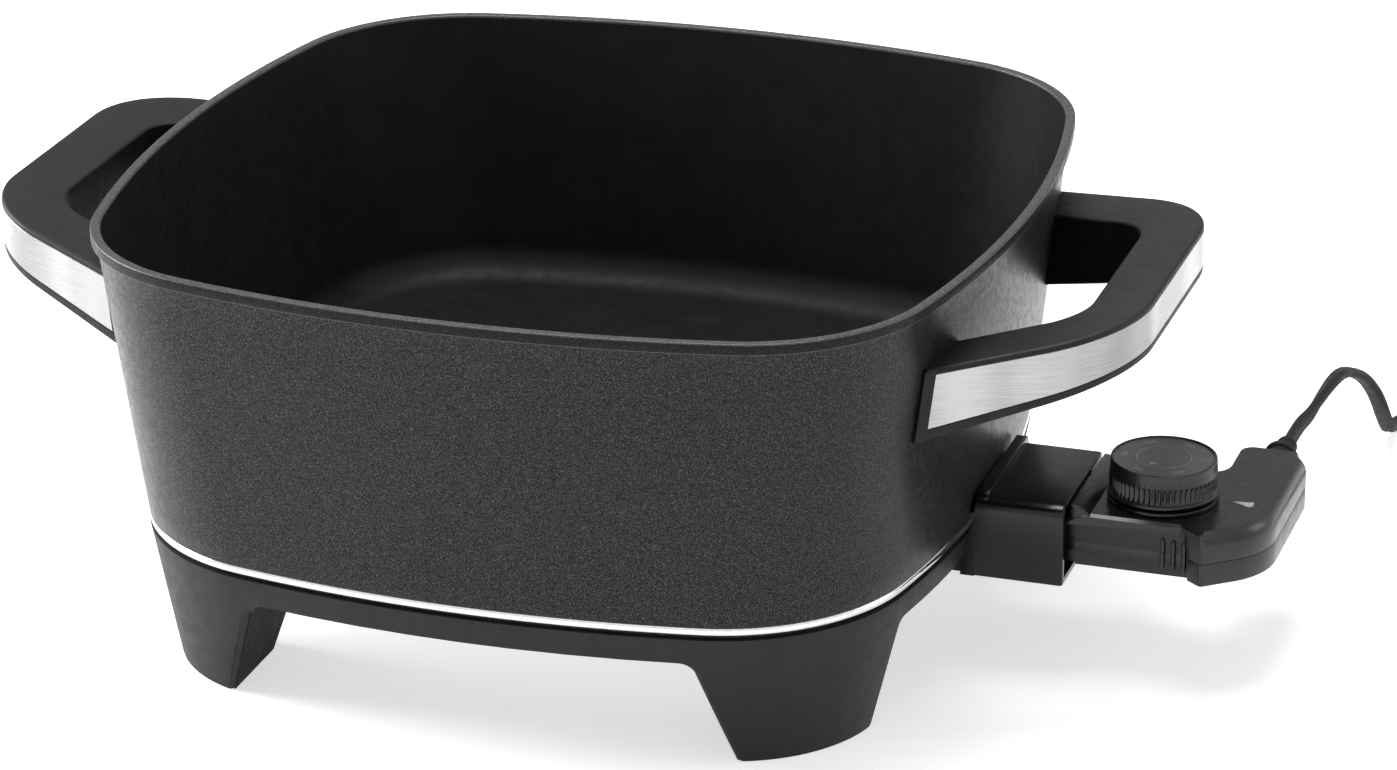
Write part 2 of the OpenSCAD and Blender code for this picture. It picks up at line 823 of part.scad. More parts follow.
// ---------------------------------------------------------------- handles

// Solid between the handle's top and underside planes, moved in from each
module handle_wedge(top_in, under_in, under_s) {
    x0 = arm_in - 10;
    x1 = handle_x + 10;
    rotate([90, 0, 0])
        linear_extrude(2 * handle_span, center = true)
            polygon([
                [x0, handle_under_at(handle_x) + under_in - under_s * (handle_x - x0)],
                [x1, handle_under_at(handle_x) + under_in - under_s * (handle_x - x1)],
                [x1, handle_top_at(x1) - top_in],
                [x0, handle_top_at(x0) - top_in]
            ]);
}

// Pan's side as a cone, moved out by d, that the handle's arms are cut to
module pan_side(d) {
    translate([bow_c, 0, foot_z])
        cylinder(h = lip_z - foot_z, r1 = foot_half - bow_c + d, r2 = wall_half - bow_c + d, $fn = 240);
}

function handle_corners() =
    let (y = handle_span / 2, run = handle_x - arm_in)
        [[arm_in, -y - arm_spread * run], [handle_x, -y], [handle_x, y], [arm_in, y + arm_spread * run]];
function opening_corners() =
    let (x = handle_x - grip_w, run = x - arm_in + 5)
        [[x - run, -opening_half - opening_spread * run], [x, -opening_half],
         [x, opening_half], [x - run, opening_half + opening_spread * run]];

module handle_outline(d, steps = 12) {
    polygon(shape(handle_corners(), [1, handle_corner_r, handle_corner_r, 1], d, steps));
}

module right_handle() {
    color("#222326")
        difference() {
            intersection() {
                linear_extrude(pan_h)
                    handle_outline(0);
                handle_wedge(0, 0, under_slope);
            }
            linear_extrude(pan_h + eps)
                polygon(shape(opening_corners(), [1, opening_r, opening_r, 1]));
            pan_side(clear);
            difference() {
                intersection() {
                    linear_extrude(pan_h)
                        handle_outline(-eps);
                    handle_wedge(band_drop, grip_h - band_drop - band_h, band_under_slope);
                }
                linear_extrude(pan_h + eps)
                    handle_outline(band_t + seat);
                pan_side(clear + band_end_gap);
            }
            for (side = [-1, 1])
                translate([arm_in, side * lug_y - lug_w / 2 - seat, lug_z - lug_h / 2])
                    cube([lug_x + lug_out + seat - arm_in, lug_w + 2 * seat, lug_h + seat]);
            for (side = [-1, 1])
                translate([handle_screw_x, side * lug_y, 0]) {
                    cylinder(h = lug_z, r = handle_screw_r + fit);
                    cylinder(h = handle_head_z(), r = handle_screw_head_r + seat);
                }
        }
}

// Seat of a handle screw's head
function handle_head_z() = lug_z - lug_h / 2 - handle_seat_t;

module left_handle() {
    mirror([1, 0, 0])
        right_handle();
}

module right_handle_band() {
    color("#c4c5c6")
        difference() {
            intersection() {
                linear_extrude(pan_h)
                    handle_outline(0);
                handle_wedge(band_drop + seat, grip_h - band_drop - band_h + seat, band_under_slope);
            }
            linear_extrude(pan_h + eps)
                handle_outline(band_t);
            pan_side(clear + band_end_gap + seat);
        }
}

module left_handle_band() {
    mirror([1, 0, 0])
        right_handle_band();
}

module right_handle_screws() {
    color("#8f9296")
        for (side = [-1, 1])
            translate([handle_screw_x, side * lug_y, handle_head_z()])
                screw(handle_screw_r, handle_screw_l, handle_screw_head_r, handle_screw_head_h);
}

module left_handle_screws() {
    mirror([1, 0, 0])
        right_handle_screws();
}

// ---------------------------------------------------------------- controller

// Ring of the case's outline, moved in by d
function case_ring(d, z) = [shape(case_corners, case_rounds, d, case_steps), z];

module case_cavity() {
    loft([case_ring(case_wall, inside_z), case_ring(case_wall, inside_top)], case_hub);
}

// What the two shells share as openings: neck holes, gland hole
module case_openings() {
    for (side = [-1, 1])
        along_x(neck_x - eps, side * pin_y, axis_z, sleeve_r + fit, case_wall + 2 * eps);
    along_x(neck_x - eps, 0, axis_z, probe_r + fit, case_wall + 2 * eps);
    translate([gland_x, tail_l - case_wall - eps, gland_z])
        rotate([-90, 0, 0])
            cylinder(h = case_wall + 2 * eps, r = gland_neck_r + fit);
}

// Bevel over the neck's top corners, out to the shoulder
module neck_bevels() {
    drop = 4;
    side_y = case_half + 0.5;
    slice = 0.01;
    for (side = [0, 1])
        mirror([0, side, 0])
            hull() {
                for (x = [neck_x - eps, shoulder_x - shoulder_l])
                    translate([x, 0, case_top])
                        rotate([0, 90, 0])
                            linear_extrude(slice)
                                polygon([[slice, neck_half], [drop, side_y], [-eps, side_y]]);
                translate([shoulder_x, side_y, case_top])
                    cube([slice, slice, 0.5]);
            }
}

module controller_upper_shell() {
    color("#111113")
        difference() {
            loft([
                case_ring(0, seam_z),
                case_ring(0, case_top - case_edge),
                case_ring(case_edge * 0.3, case_top - case_edge * 0.3),
                case_ring(case_edge, case_top)
            ], case_hub);
            case_cavity();
            case_openings();
            neck_bevels();
            translate([dial_x, 0, inside_top - eps])
                cylinder(h = case_wall + 2 * eps, r = shaft_r + clear);
            translate([lens_at[0], lens_at[1], lens_z - eps])
                linear_extrude(case_wall + 4)
                    lens_outline(seat);
        }
    color("#111113")
        case_posts(seam_z, inside_top);
}

module controller_lower_shell() {
    color("#111113")
        difference() {
            union() {
                difference() {
                    loft([
                        case_ring(case_foot_edge, case_z),
                        case_ring(0, case_z + case_foot_edge),
                        case_ring(0, seam_z)
                    ], case_hub);
                    case_cavity();
                }
                for (at = case_screw_at)
                    translate([at[0], at[1], case_z + 0.5])
                        cylinder(h = seam_z - case_z - 0.5, r = case_post_r);
                for (x = [frame_x + 5, dial_x + 5.4])
                    translate([x, 0, inside_z - 0.5])
                        cylinder(h = frame_z - inside_z + 0.5, r = 3);
            }
            case_openings();
            for (at = case_screw_at)
                translate([at[0], at[1], case_z - eps]) {
                    cylinder(h = lower_h + 2 * eps, r = case_screw_r + fit);
                    cylinder(h = case_screw_sink + eps, r = 2.8);
                }
        }
}

// Posts of the upper shell that the case screws bite into
module case_posts(z0, z1) {
    difference() {
        for (at = case_screw_at)
            translate([at[0], at[1], z0])
                cylinder(h = z1 - z0 + 0.5, r = case_post_r);
        for (at = case_screw_at)
            translate([at[0], at[1], z0 - eps])
                cylinder(h = eps + case_screw_bite + hole_spare, r = case_screw_r + fit);
    }
}

module case_screws() {
    color("#8f9296")
        for (at = case_screw_at)
            translate([at[0], at[1], case_z + case_screw_sink])
                screw(case_screw_r, lower_h - case_screw_sink + case_screw_bite, 2.6, 2);
}

module dial_collar() {
    color("#0d0d0e")
        translate([dial_x, 0, case_top])
            rotate_extrude($fn = 96)
                polygon([
                    [shaft_r + 2, 0], [dial_r + 0.4, 0], [dial_r + 0.9, 0.6], [dial_r + 0.9, 1.7],
                    [dial_r - 0.4, collar_h], [shaft_r + 2, collar_h]
                ]);
}

// Dial seen from above: ridges round a circle
function ridged(r, h, n) = [for (k = [0 : 2 * n - 1])
    let (a = 180 * k / n, q = k % 2 == 0 ? r : r - h) [q * cos(a), q * sin(a)]];

module dial_knob() {
    skirt_h = 1.6;
    top_h = 4.8;
    well = dial_h - 2.6;
    color("#17171a")
        translate([dial_x, 0, dial_z])
            difference() {
                union() {
                    cylinder(h = skirt_h, r = dial_r + 0.9);
                    translate([0, 0, skirt_h])
                        linear_extrude(dial_h - skirt_h - top_h)
                            polygon(ridged(dial_r + ridge_h / 2, ridge_h, dial_ridges));
                    translate([0, 0, dial_h - top_h])
                        cylinder(h = top_h, r = dial_r, $fn = 96);
                }
                translate([0, 0, dial_h - 0.3])
                    cylinder(h = 0.3 + eps, r = dial_r - 1, $fn = 96);
                translate([0, 0, -eps])
                    difference() {
                        cylinder(h = well + eps, r = dial_r - 2);
                        cylinder(h = dial_h, r = shaft_r + 2.4);
                    }
                translate([0, 0, -eps])
                    cylinder(h = well + eps, r = shaft_r + fit);
            }
}

// Spiral cam: its radius grows in step with the dial's clockwise turn
module cam_plate() {
    spare = 4;
    linear_extrude(cam_t)
        polygon([
            for (k = [0 : cam_steps])
                let (
                    a = -spare + (dial_turn + 2 * spare) * k / cam_steps,
                    r = cam_r + cam_lift * a / dial_turn
                )
                [r * cos(180 + a), r * sin(180 + a)]
        ]);
}

module dial_shaft() {
    color("#b9bbbe")
        translate([dial_x, 0, 0]) {
            translate([0, 0, frame_z - 1.2])
                cylinder(h = frame_t + 1.6, r = pivot_r);
            translate([0, 0, frame_z + frame_t + 0.2])
                cylinder(h = dial_z + dial_h - 2.8 - frame_z - frame_t - 0.2, r = shaft_r);
            translate([0, 0, cam_z])
                cam_plate();
        }
}

// Radius of the cam where the follower meets it at rest, with its clearance
follower_tip = dial_x - cam_r - clear;

module cam_follower() {
    color("#d9d3c2")
        translate([0, 0, cam_z + cam_t / 2])
            along_x(follower_tip - follower_l, 0, 0, follower_r, follower_l);
}

module thermostat_frame() {
    l = dial_x + 9 - frame_x;
    guide_z = cam_z + cam_t / 2;
    guide_t = 3;
    guide_w = 12;
    color("#b4b6b8")
        difference() {
            union() {
                translate([frame_x, -frame_w / 2, frame_z])
                    cube([l, frame_w, frame_t]);
                translate([frame_x, -upright_w / 2, frame_z])
                    cube([frame_t, upright_w, axis_z + probe_r + 1.5 - frame_z]);
                translate([guide_x, -guide_w / 2, frame_z])
                    cube([guide_t, guide_w, guide_z + follower_r + 1.6 - frame_z]);
            }
            along_x(frame_x - eps, 0, axis_z, probe_r + fit, frame_t + 2 * eps);
            along_x(guide_x - eps, 0, guide_z, follower_r + fit, guide_t + 2 * eps);
            translate([dial_x, 0, frame_z - eps])
                cylinder(h = frame_t + 2 * eps, r = pivot_r + fit);
        }
}

module contact_block() {
    w = 2 * (pin_y + sleeve_r + 1.6);
    color("#cfc7b4")
        difference() {
            translate([block_x, -w / 2, inside_z])
                cube([block_l, w, inside_top - inside_z - 1]);
            for (side = [-1, 1])
                along_x(block_x - eps, side * pin_y, axis_z, sleeve_r + fit, block_l + 2 * eps);
            along_x(block_x - eps, 0, axis_z, probe_r + fit, block_l + 2 * eps);
        }
}

module contact_sleeves() {
    color("#c8a24a")
        for (side = [-1, 1])
            difference() {
                along_x(block_x, side * pin_y, axis_z, sleeve_r, block_l + 2);
                along_x(block_x - eps, side * pin_y, axis_z, pin_r + sleeve_fit, block_l + 1);
            }
}

module probe_rod() {
    color("#c9ccd0") {
        along_x(probe_tip, 0, axis_z, probe_r, frame_x + frame_t + 2 - probe_tip);
        translate([probe_tip, 0, axis_z])
            sphere(r = probe_r);
    }
}

// Pointer-shaped window: blunt end away from the dial
module lens_outline(d) {
    offset_l = lens_l / 2 + d;
    w = lens_w / 2 + d;
    polygon([[-offset_l, -0.3 - d], [offset_l - w, -w], [offset_l, -w / 2], [offset_l, w / 2],
             [offset_l - w, w], [-offset_l, 0.3 + d]]);
}

module indicator_lens() {
    color("#e9e6dc")
        translate([lens_at[0], lens_at[1], lens_z])
            linear_extrude(case_top - lens_z + 0.3)
                lens_outline(0);
}

module indicator_lamp() {
    l = 9;
    color("#e8c9a8")
        translate([lens_at[0] - l / 2, lens_at[1], lens_z - lamp_r - clear]) {
            along_x(0, 0, 0, lamp_r, l);
            sphere(r = lamp_r);
        }
}

// The cord's two cores inside the case, from the gland to the sleeves
lead_r = 1.2;
lead_gap = 1.8;                              // from the gland's axis to each core
lead_y = frame_w / 2 + lead_r + 0.6;         // where the leads pass beside the frame
lead_z = inside_z + lead_r + 0.5;
module supply_leads() {
    gland_y = tail_l - case_wall - gland_flange_t;
    sleeve_x = block_x + block_l + 2;
    turn_y = tail_l - 32;
    color("#e4e1da") {
        swept([
            [gland_x - lead_gap, gland_y, gland_z], [gland_x - lead_gap, gland_y - 5, gland_z],
            [gland_x - 3, gland_y - 14, lead_z + 3], [gland_x - 6, gland_y - 22, lead_z],
            [gland_x - 12, turn_y - 3, lead_z], [dial_x + 8, lead_y + 2, lead_z],
            [dial_x, lead_y, lead_z], [frame_x + 12, lead_y, lead_z],
            [frame_x + 6, lead_y, lead_z + 1], [frame_x + 2, pin_y + 1, axis_z - 2],
            [sleeve_x + 2, pin_y, axis_z], [sleeve_x, pin_y, axis_z]
        ], lead_r, 8);
        swept([
            [gland_x + lead_gap, gland_y, gland_z], [gland_x + lead_gap, gland_y - 5, gland_z],
            [gland_x + 1, gland_y - 14, lead_z + 3], [gland_x, gland_y - 26, lead_z],
            [gland_x - 3, turn_y - 10, lead_z], [gland_x - 8, 0, lead_z],
            [dial_x + 15, -lead_y + 3, lead_z], [dial_x + 8, -lead_y, lead_z],
            [dial_x, -lead_y, lead_z], [frame_x + 12, -lead_y, lead_z],
            [frame_x + 6, -lead_y, lead_z + 1], [frame_x + 2, -pin_y - 1, axis_z - 2],
            [sleeve_x + 2, -pin_y, axis_z], [sleeve_x, -pin_y, axis_z]
        ], lead_r, 8);
    }
}

// ---------------------------------------------------------------- cord

module strain_relief() {
    ribs = 4;
    color("#151517")
        translate([gland_x, tail_l, gland_z])
            rotate([-90, 0, 0])
                rotate_extrude()
                    polygon([
                        [0, -case_wall - gland_flange_t], [gland_flange_r, -case_wall - gland_flange_t],
                        [gland_flange_r, -case_wall - seat], [gland_neck_r, -case_wall - seat],
                        [gland_neck_r, seat], [gland_r, seat],
                        for (k = [0 : ribs - 1])
                            let (y = 2.6 + k * 4, r = gland_r - 0.35 * k)
                                each [[r, y], [r - 0.9, y + 0.4], [r - 0.9, y + 1.6], [r - 0.3, y + 2]],
                        [cord_r + 0.7, gland_l - 1], [cord_r + 0.3, gland_l], [0, gland_l]
                    ]);
}

module cord() {
    color("#2c2d30")
        swept(cord_route, cord_r, cord_sides);
}

module cord_coil() {
    w = cord_d;
    color("#2c2d30")
        translate([coil_at[0], coil_at[1], coil_lift])
            rotate_extrude()
                polygon([
                    [coil_mid - w, 0], [coil_mid + w, 0], [coil_mid + w, w],
                    [coil_mid + w / 2, coil_h], [coil_mid - w / 2, coil_h], [coil_mid - w, w]
                ]);
}

module cord_tie() {
    w = cord_d;
    t = 0.7;
    color("#1c1c1e")
        translate([coil_at[0], coil_at[1] - coil_mid, 0])
            rotate([90, 0, 90])
                linear_extrude(9, center = true)
                    difference() {
                        translate([-w - seat - t - 0.8, 0])
                            square([2 * (w + seat + t) + 1.6, coil_lift + coil_h + seat + t]);
                        translate([-w - seat - 0.8, coil_lift - seat])
                            square([2 * (w + seat) + 1.6, coil_h + 2 * seat]);
                    }
}

module cord_tail() {
    color("#2c2d30")
        swept(tail_route, cord_r, cord_sides);
}

// Two-blade plug lying on its side, with its flex relief towards the coil
module plug_body() {
    relief = 16;
    color("#1a1a1c")
        translate(plug_at)
            rotate([90, 0, 0])
                union() {
                    cylinder(h = relief + 1, r1 = cord_r + 0.4, r2 = 6);
                    translate([0, 0, relief])
                        linear_extrude(plug_l - relief - 3)
                            polygon(shape(box_corners(-12, 12, -7, 7), same(4)));
                    translate([0, 0, plug_l - 3])
                        linear_extrude(3)
                            polygon(shape(box_corners(-13, 13, -7.8, 7.8), same(4)));
                }
}

module plug_blades() {
    t = 1.5;
    w = 6.4;
    color("#c9ccd0")
        for (side = [-1, 1])
            translate(plug_at + [side * blade_gap / 2 - t / 2, -plug_l - blade_l, -w / 2])
                cube([t, blade_l, w]);
}

pan();
trim_ring();
base();
base_screws();
heat_shield();
shield_screws();
heating_element();
element_clips();
clip_screws();
terminal_pins();
pin_insulators();
probe_receiver();
receiver_screws();
socket_guard();
guard_screws();
left_handle();
right_handle();
left_handle_band();
right_handle_band();
left_handle_screws();
right_handle_screws();
controller_upper_shell();
controller_lower_shell();
case_screws();
dial_collar();
dial_knob();
dial_shaft();
cam_follower();
thermostat_frame();
contact_block();
contact_sleeves();
probe_rod();
indicator_lens();
indicator_lamp();
supply_leads();
strain_relief();
cord();
cord_coil();
cord_tie();
cord_tail();
plug_body();
plug_blades();
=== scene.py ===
"""Looks of an electric skillet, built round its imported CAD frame.

Sizes are in millimetres, and turn into metres where a mesh is made. The frame's nodes give the
main sizes; the rest are named here. +X points at the controller, the origin is on the table."""

from math import acos, atan2, cos, exp, hypot, pi, radians, sin, sqrt, tan

import bmesh
import bpy
from mathutils import Matrix, Vector


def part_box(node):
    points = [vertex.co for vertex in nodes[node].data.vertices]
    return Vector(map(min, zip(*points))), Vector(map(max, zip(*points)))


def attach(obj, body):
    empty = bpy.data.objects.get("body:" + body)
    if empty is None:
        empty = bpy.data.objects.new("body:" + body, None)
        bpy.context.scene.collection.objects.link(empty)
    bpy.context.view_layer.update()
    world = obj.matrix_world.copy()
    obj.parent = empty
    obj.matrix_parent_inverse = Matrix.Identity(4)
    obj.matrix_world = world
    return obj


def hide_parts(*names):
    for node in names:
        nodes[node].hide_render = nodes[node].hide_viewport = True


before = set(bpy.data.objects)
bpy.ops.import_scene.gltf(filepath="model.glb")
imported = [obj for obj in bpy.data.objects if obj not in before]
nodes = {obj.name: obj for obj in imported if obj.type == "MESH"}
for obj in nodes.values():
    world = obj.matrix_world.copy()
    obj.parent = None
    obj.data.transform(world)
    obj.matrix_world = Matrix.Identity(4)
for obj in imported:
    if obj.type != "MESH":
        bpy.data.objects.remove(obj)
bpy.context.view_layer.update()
MM = 0.001


def spread(node):
    """Lowest and highest corner of a CAD node, in millimetres."""
    low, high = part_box(node)
    return low / MM, high / MM


# ---- sizes

SIDES = (-1, 1)
CORNERS = [(sx, sy) for sx in SIDES for sy in SIDES]

PAN_HIGH = spread("pan")[1]
PAN_HALF, RIM_Z = PAN_HIGH.y, PAN_HIGH.z
BOW_R = 477                      # radius of the sides' outward bow
BOW_C = PAN_HALF - BOW_R         # its centre, from the pan's axis
PAN_CORNER_R, FOOT_CORNER_R = 68, 71
LIP_H, LIP_OUT, RIM_FACE = 4.2, 2, 3.7
RIM_OUTER_R, RIM_INNER_R = 0.55, 0.8
PAN_WALL, FLOOR_T, FLOOR_FILLET = 3.2, 5, 14
INNER_STEP = 3.2                 # how much tighter the inside corners are

TRIM_LOW, TRIM_HIGH = spread("trim_ring")
FOOT_Z, FOOT_HALF = TRIM_HIGH.z, TRIM_HIGH.y - 0.2
TRIM_T = 1.8
LIP_Z = RIM_Z - LIP_H
WALL_HALF = PAN_HALF - LIP_OUT
UNDER_Z = FOOT_Z + 1.3
FLOOR_Z = UNDER_Z + FLOOR_T
SPIGOT_HALF = FOOT_HALF - TRIM_T - 0.1

BASE_H = spread("base")[1].z
BASE_FOOT_HALF, BASE_CORNER_R, BASE_WALL = 140.8, 55, 3.2
SKIRT_Z = 40.5
DECK_Z = SKIRT_Z + 3
FRONT_GAP, FRONT_LEAN, FRONT_ROUND = 190.4, 13.2, 7
SIDE_GAP, SIDE_LEAN, SIDE_ROUND = 174.6, 5.6, 4
LEG_BEVEL, LEG_FOOT_R, LEG_EDGE_R = 6, 2, 2.6
BASE_SCREW_AT, BASE_HOLE_R, BOSS_R = 108, 2.55, 7
SHIELD_SCREWS = [(0, 106), (0, -106), (-106, 0), (106, 34)]
SCREW_HOLE_R = 1.75

AXIS_Z = spread("probe_rod")[0].z + 3
PIN_Y = 8.5
INLET_X, INLET_HALF = 98, PIN_Y + 4.9

GUARD_LOW, GUARD_HIGH = spread("socket_guard")
PAD_X, GUARD_Z, GUARD_END = GUARD_LOW.x, GUARD_LOW.z, GUARD_HIGH.x
GUARD_TOP = GUARD_Z + 30.5
GUARD_HALF, GUARD_WALL, GUARD_BACK = 28.5, 2.6, 3
GUARD_SCREW_Y, GUARD_SCREW_Z = GUARD_HALF - 8, AXIS_Z - 7.2
GUARD_PIN_R, GUARD_PROBE_R = 3.7, 3.3

HANDLE_HIGH = spread("right_handle")[1]
HANDLE_X, HANDLE_TOP = HANDLE_HIGH.x, HANDLE_HIGH.z
HANDLE_SPAN, HANDLE_CORNER_R = 132, 46
GRIP_W, GRIP_H = 21.7, 18.2
TOP_SLOPE, UNDER_SLOPE = 0.18, 0.3
ARM_SPREAD, OPENING_SPREAD = 0.4235, 0.4514
OPENING_HALF, OPENING_R = 47.5, 22
ARM_IN = FOOT_HALF - 11
BAND_DROP, BAND_H, BAND_T = 2, 13.9, 1
ROOT_BEVEL = 1.2
EDGE_SPARE = 0.7                 # width that the rounding at the opening takes back
INSIDE_DROP = 2.4                # how much lower the underside is at the opening
SEAT, CLEAR = 0.1, 0.3
LUG_W, LUG_H, LUG_OUT, LUG_Y, LUG_Z = 12, 8.4, 17, 78, HANDLE_TOP - 24.6
SCREW_PIT_R, SHANK_HOLE_R = 3.7, 2.05

CASE_LOW = spread("controller_lower_shell")[0]
NECK_X, CASE_Z = CASE_LOW.x, CASE_LOW.z
SEAM_Z = spread("controller_upper_shell")[0].z
CASE_TOP = CASE_Z + 20.2
CASE_HALF, CASE_WALL, NECK_HALF = 24, 2.4, 15
PROBE_HOLE_R, PIN_HOLE_R, GLAND_HOLE_R, SHAFT_HOLE_R = 3.05, 3.25, 3.65, 3.3
CASE_PIT_R, CASE_PIT_H = 2.8, 3.2
SHOULDER_X, SHOULDER_L = NECK_X + 30.6, 7.1
DIAL_LOW, DIAL_HIGH = spread("dial_knob")
DIAL_X = (DIAL_LOW.x + DIAL_HIGH.x) / 2
DIAL_Z, DIAL_TOP = DIAL_LOW.z, DIAL_HIGH.z
DIAL_R, DIAL_RIDGES = 19.3, 60
FACE_SINK = 0.5                  # depth of the dial's face below its rim
DIGITS = ("0", "200", "250", "300", "350", "400")
DIGIT_SIZE, DIGIT_R, POINTER_AT = 3.0, 14.2, 247.7
TAIL_L, TAIL_IN, TAIL_OUT = 55, DIAL_X + 17, DIAL_X + 42
GLAND_X, GLAND_Z, GLAND_L = DIAL_X + 29, AXIS_Z + 1.7, 20
LENS_X, LENS_Y = DIAL_X + 29, 2

CORD_W, CORD_T = 6.4, 4.2        # a flat two-core lead
CORD_SIDES = 24
COIL_AT = Vector((312, 219, 0))
COIL_LIFT = 0.8
TURN_R = (37.2, 30.8, 34)        # outer and inner turn on the table, and the turn on top
PLUG_AT = Vector((346, 182, 8))


# ---- outlines

def unit(v):
    length = hypot(*v)
    return v[0] / length, v[1] / length


def moved_in(p, d):
    """Corners of a polygon, drawn anticlockwise, with every side moved in by d."""
    out = []
    for i, (x, y) in enumerate(p):
        before, after = p[i - 1], p[(i + 1) % len(p)]
        u = unit((x - before[0], y - before[1]))
        v = unit((after[0] - x, after[1] - y))
        k = d / (1 + u[0] * v[0] + u[1] * v[1])
        out.append((x - (u[1] + v[1]) * k, y + (u[0] + v[0]) * k))
    return out


def turn_way(a, b, c):
    """1 where the way from a over b to c turns left, and -1 where it turns right."""
    return 1 if (b[0] - a[0]) * (c[1] - b[1]) > (b[1] - a[1]) * (c[0] - b[0]) else -1


def corner_arc(a, b, c, r, steps):
    """Points of corner b, between a and c, rounded with radius r."""
    u, v = unit((a[0] - b[0], a[1] - b[1])), unit((c[0] - b[0], c[1] - b[1]))
    half = acos(max(-1, min(1, u[0] * v[0] + u[1] * v[1]))) / 2
    mid = unit((u[0] + v[0], u[1] + v[1]))
    cx, cy = b[0] + mid[0] * r / sin(half), b[1] + mid[1] * r / sin(half)
    x, y = b[0] + u[0] * r / tan(half) - cx, b[1] + u[1] * r / tan(half) - cy
    turns = [turn_way(a, b, c) * (pi - 2 * half) * k / steps for k in range(steps + 1)]
    return [(cx + x * cos(t) - y * sin(t), cy + x * sin(t) + y * cos(t)) for t in turns]


def rounded(p, r, d=0, steps=8):
    """Polygon with each corner rounded, moved in by d with the roundings kept concentric."""
    q = moved_in(p, d)
    out = []
    for i in range(len(p)):
        j = (i + 1) % len(p)
        radius = max(r[i] - turn_way(p[i - 1], p[i], p[j]) * d, 0.3)
        out += corner_arc(q[i - 1], q[i], q[j], radius, steps if r[i] > 1 else 2)
    return out


def box_corners(x0, x1, y0, y1):
    return [(x0, y0), (x1, y0), (x1, y1), (x0, y1)]


def bowed_square(half, r, side_steps=14, corner_steps=28):
    """Square with bowed sides and rounded corners."""
    side, reach = half - BOW_C, half - BOW_C - r
    c = (BOW_C + sqrt(2 * reach * reach - BOW_C * BOW_C)) / 2
    lean = atan2(c, c - BOW_C)
    bow = [lean * k / side_steps for k in range(side_steps)]
    corner = [lean + (pi / 2 - 2 * lean) * k / corner_steps for k in range(corner_steps + 1)]
    quarter = [(BOW_C + side * cos(a), side * sin(a)) for a in bow]
    quarter += [(c + r * cos(a), c + r * sin(a)) for a in corner]
    quarter += [(side * sin(a), BOW_C + side * cos(a)) for a in bow[:0:-1]]
    out = []
    for _ in range(4):
        out += quarter
        quarter = [(-y, x) for x, y in quarter]
    return out


def quarter_round(r, steps):
    """(inwards, upwards) steps of a rounding of radius r, from its lower end to its upper one."""
    turns = [pi / 2 * k / steps for k in range(steps + 1)]
    return [(r * (1 - cos(a)), r * sin(a)) for a in turns]


def circle(r, n=48, shape=None):
    """Points round a centre, where shape may change the radius by the angle."""
    turns = [(2 * pi * k / n, shape(r, 2 * pi * k / n) if shape else r) for k in range(n)]
    return [(radius * cos(a), radius * sin(a)) for a, radius in turns]


def at_height(outline, z):
    return [(x, y, z) for x, y in outline]


# ---- meshes

def linked(name, data):
    """New object in the scene."""
    obj = bpy.data.objects.new(name, data)
    bpy.context.scene.collection.objects.link(obj)
    return obj


def new_object(name, points, faces):
    mesh = bpy.data.meshes.new(name)
    mesh.from_pydata([Vector(p) * MM for p in points], [], faces)
    mesh.update()
    return linked(name, mesh)


def loft(name, rings, closed=False):
    """Skin through rings of as many points each. Its ends are capped, or joined if closed."""
    n, count = len(rings[0]), len(rings)
    faces = []
    for k in range(count if closed else count - 1):
        a, b = k * n, (k + 1) % count * n
        faces += [(a + i, a + (i + 1) % n, b + (i + 1) % n, b + i) for i in range(n)]
    if not closed:
        faces += [tuple(reversed(range(n))), tuple(range((count - 1) * n, count * n))]
    return new_object(name, [p for ring in rings for p in ring], faces)


def prism(name, outline, low, high, axis="z"):
    """Outline drawn out along an axis: (x, y) along z, (x, z) along y, or (y, z) along x."""
    spot = "xyz".index(axis)
    return loft(name, [[(*p[:spot], w, *p[spot:]) for p in outline] for w in (low, high)])


def block(name, low, high):
    return prism(name, box_corners(low[0], high[0], low[1], high[1]), low[2], high[2])


def moved(obj, at, turn=Matrix()):
    """Object whose mesh is turned, and then moved by a vector."""
    obj.data.transform(Matrix.Translation(Vector(at) * MM) @ turn)
    return obj


def rod(name, at, r, length, axis="z"):
    """Cylinder from a point, along an axis."""
    return moved(prism(name, circle(r), 0, length, axis), at)


def lathe(name, profile, n):
    """Profile of (radius, height) turned about Z."""
    return loft(name, [at_height(circle(r, n), z) for r, z in profile])


def reworked(obj, change):
    """Lets change edit an object's mesh as a bmesh."""
    work = bmesh.new()
    work.from_mesh(obj.data)
    change(work)
    work.to_mesh(obj.data)
    work.free()


def face_out(obj):
    reworked(obj, lambda work: bmesh.ops.recalc_face_normals(work, faces=work.faces))


def from_bmesh(name, work):
    mesh = bpy.data.meshes.new(name)
    work.to_mesh(mesh)
    work.free()
    return linked(name, mesh)


def joined(name, parts):
    """One object out of several, in the order given."""
    work = bmesh.new()
    for part in parts:
        work.from_mesh(part.data)
        bpy.data.objects.remove(part)
    return from_bmesh(name, work)


def hull(name, points):
    """Convex solid round the points."""
    work = bmesh.new()
    for p in points:
        work.verts.new(Vector(p) * MM)
    found = bmesh.ops.convex_hull(work, input=work.verts)
    loose = [v for v in found["geom_interior"] if isinstance(v, bmesh.types.BMVert)]
    bmesh.ops.delete(work, geom=loose, context="VERTS")
    return from_bmesh(name, work)


def finished_mesh(obj):
    """Mesh that an object's modifiers or text make of it."""
    bpy.context.view_layer.update()
    return bpy.data.meshes.new_from_object(
        obj.evaluated_get(bpy.context.evaluated_depsgraph_get()))


def applied(obj):
    """Replaces an object's mesh by what its modifiers make of it."""
    mesh = finished_mesh(obj)
    obj.modifiers.clear()
    obj.data = mesh
    return obj


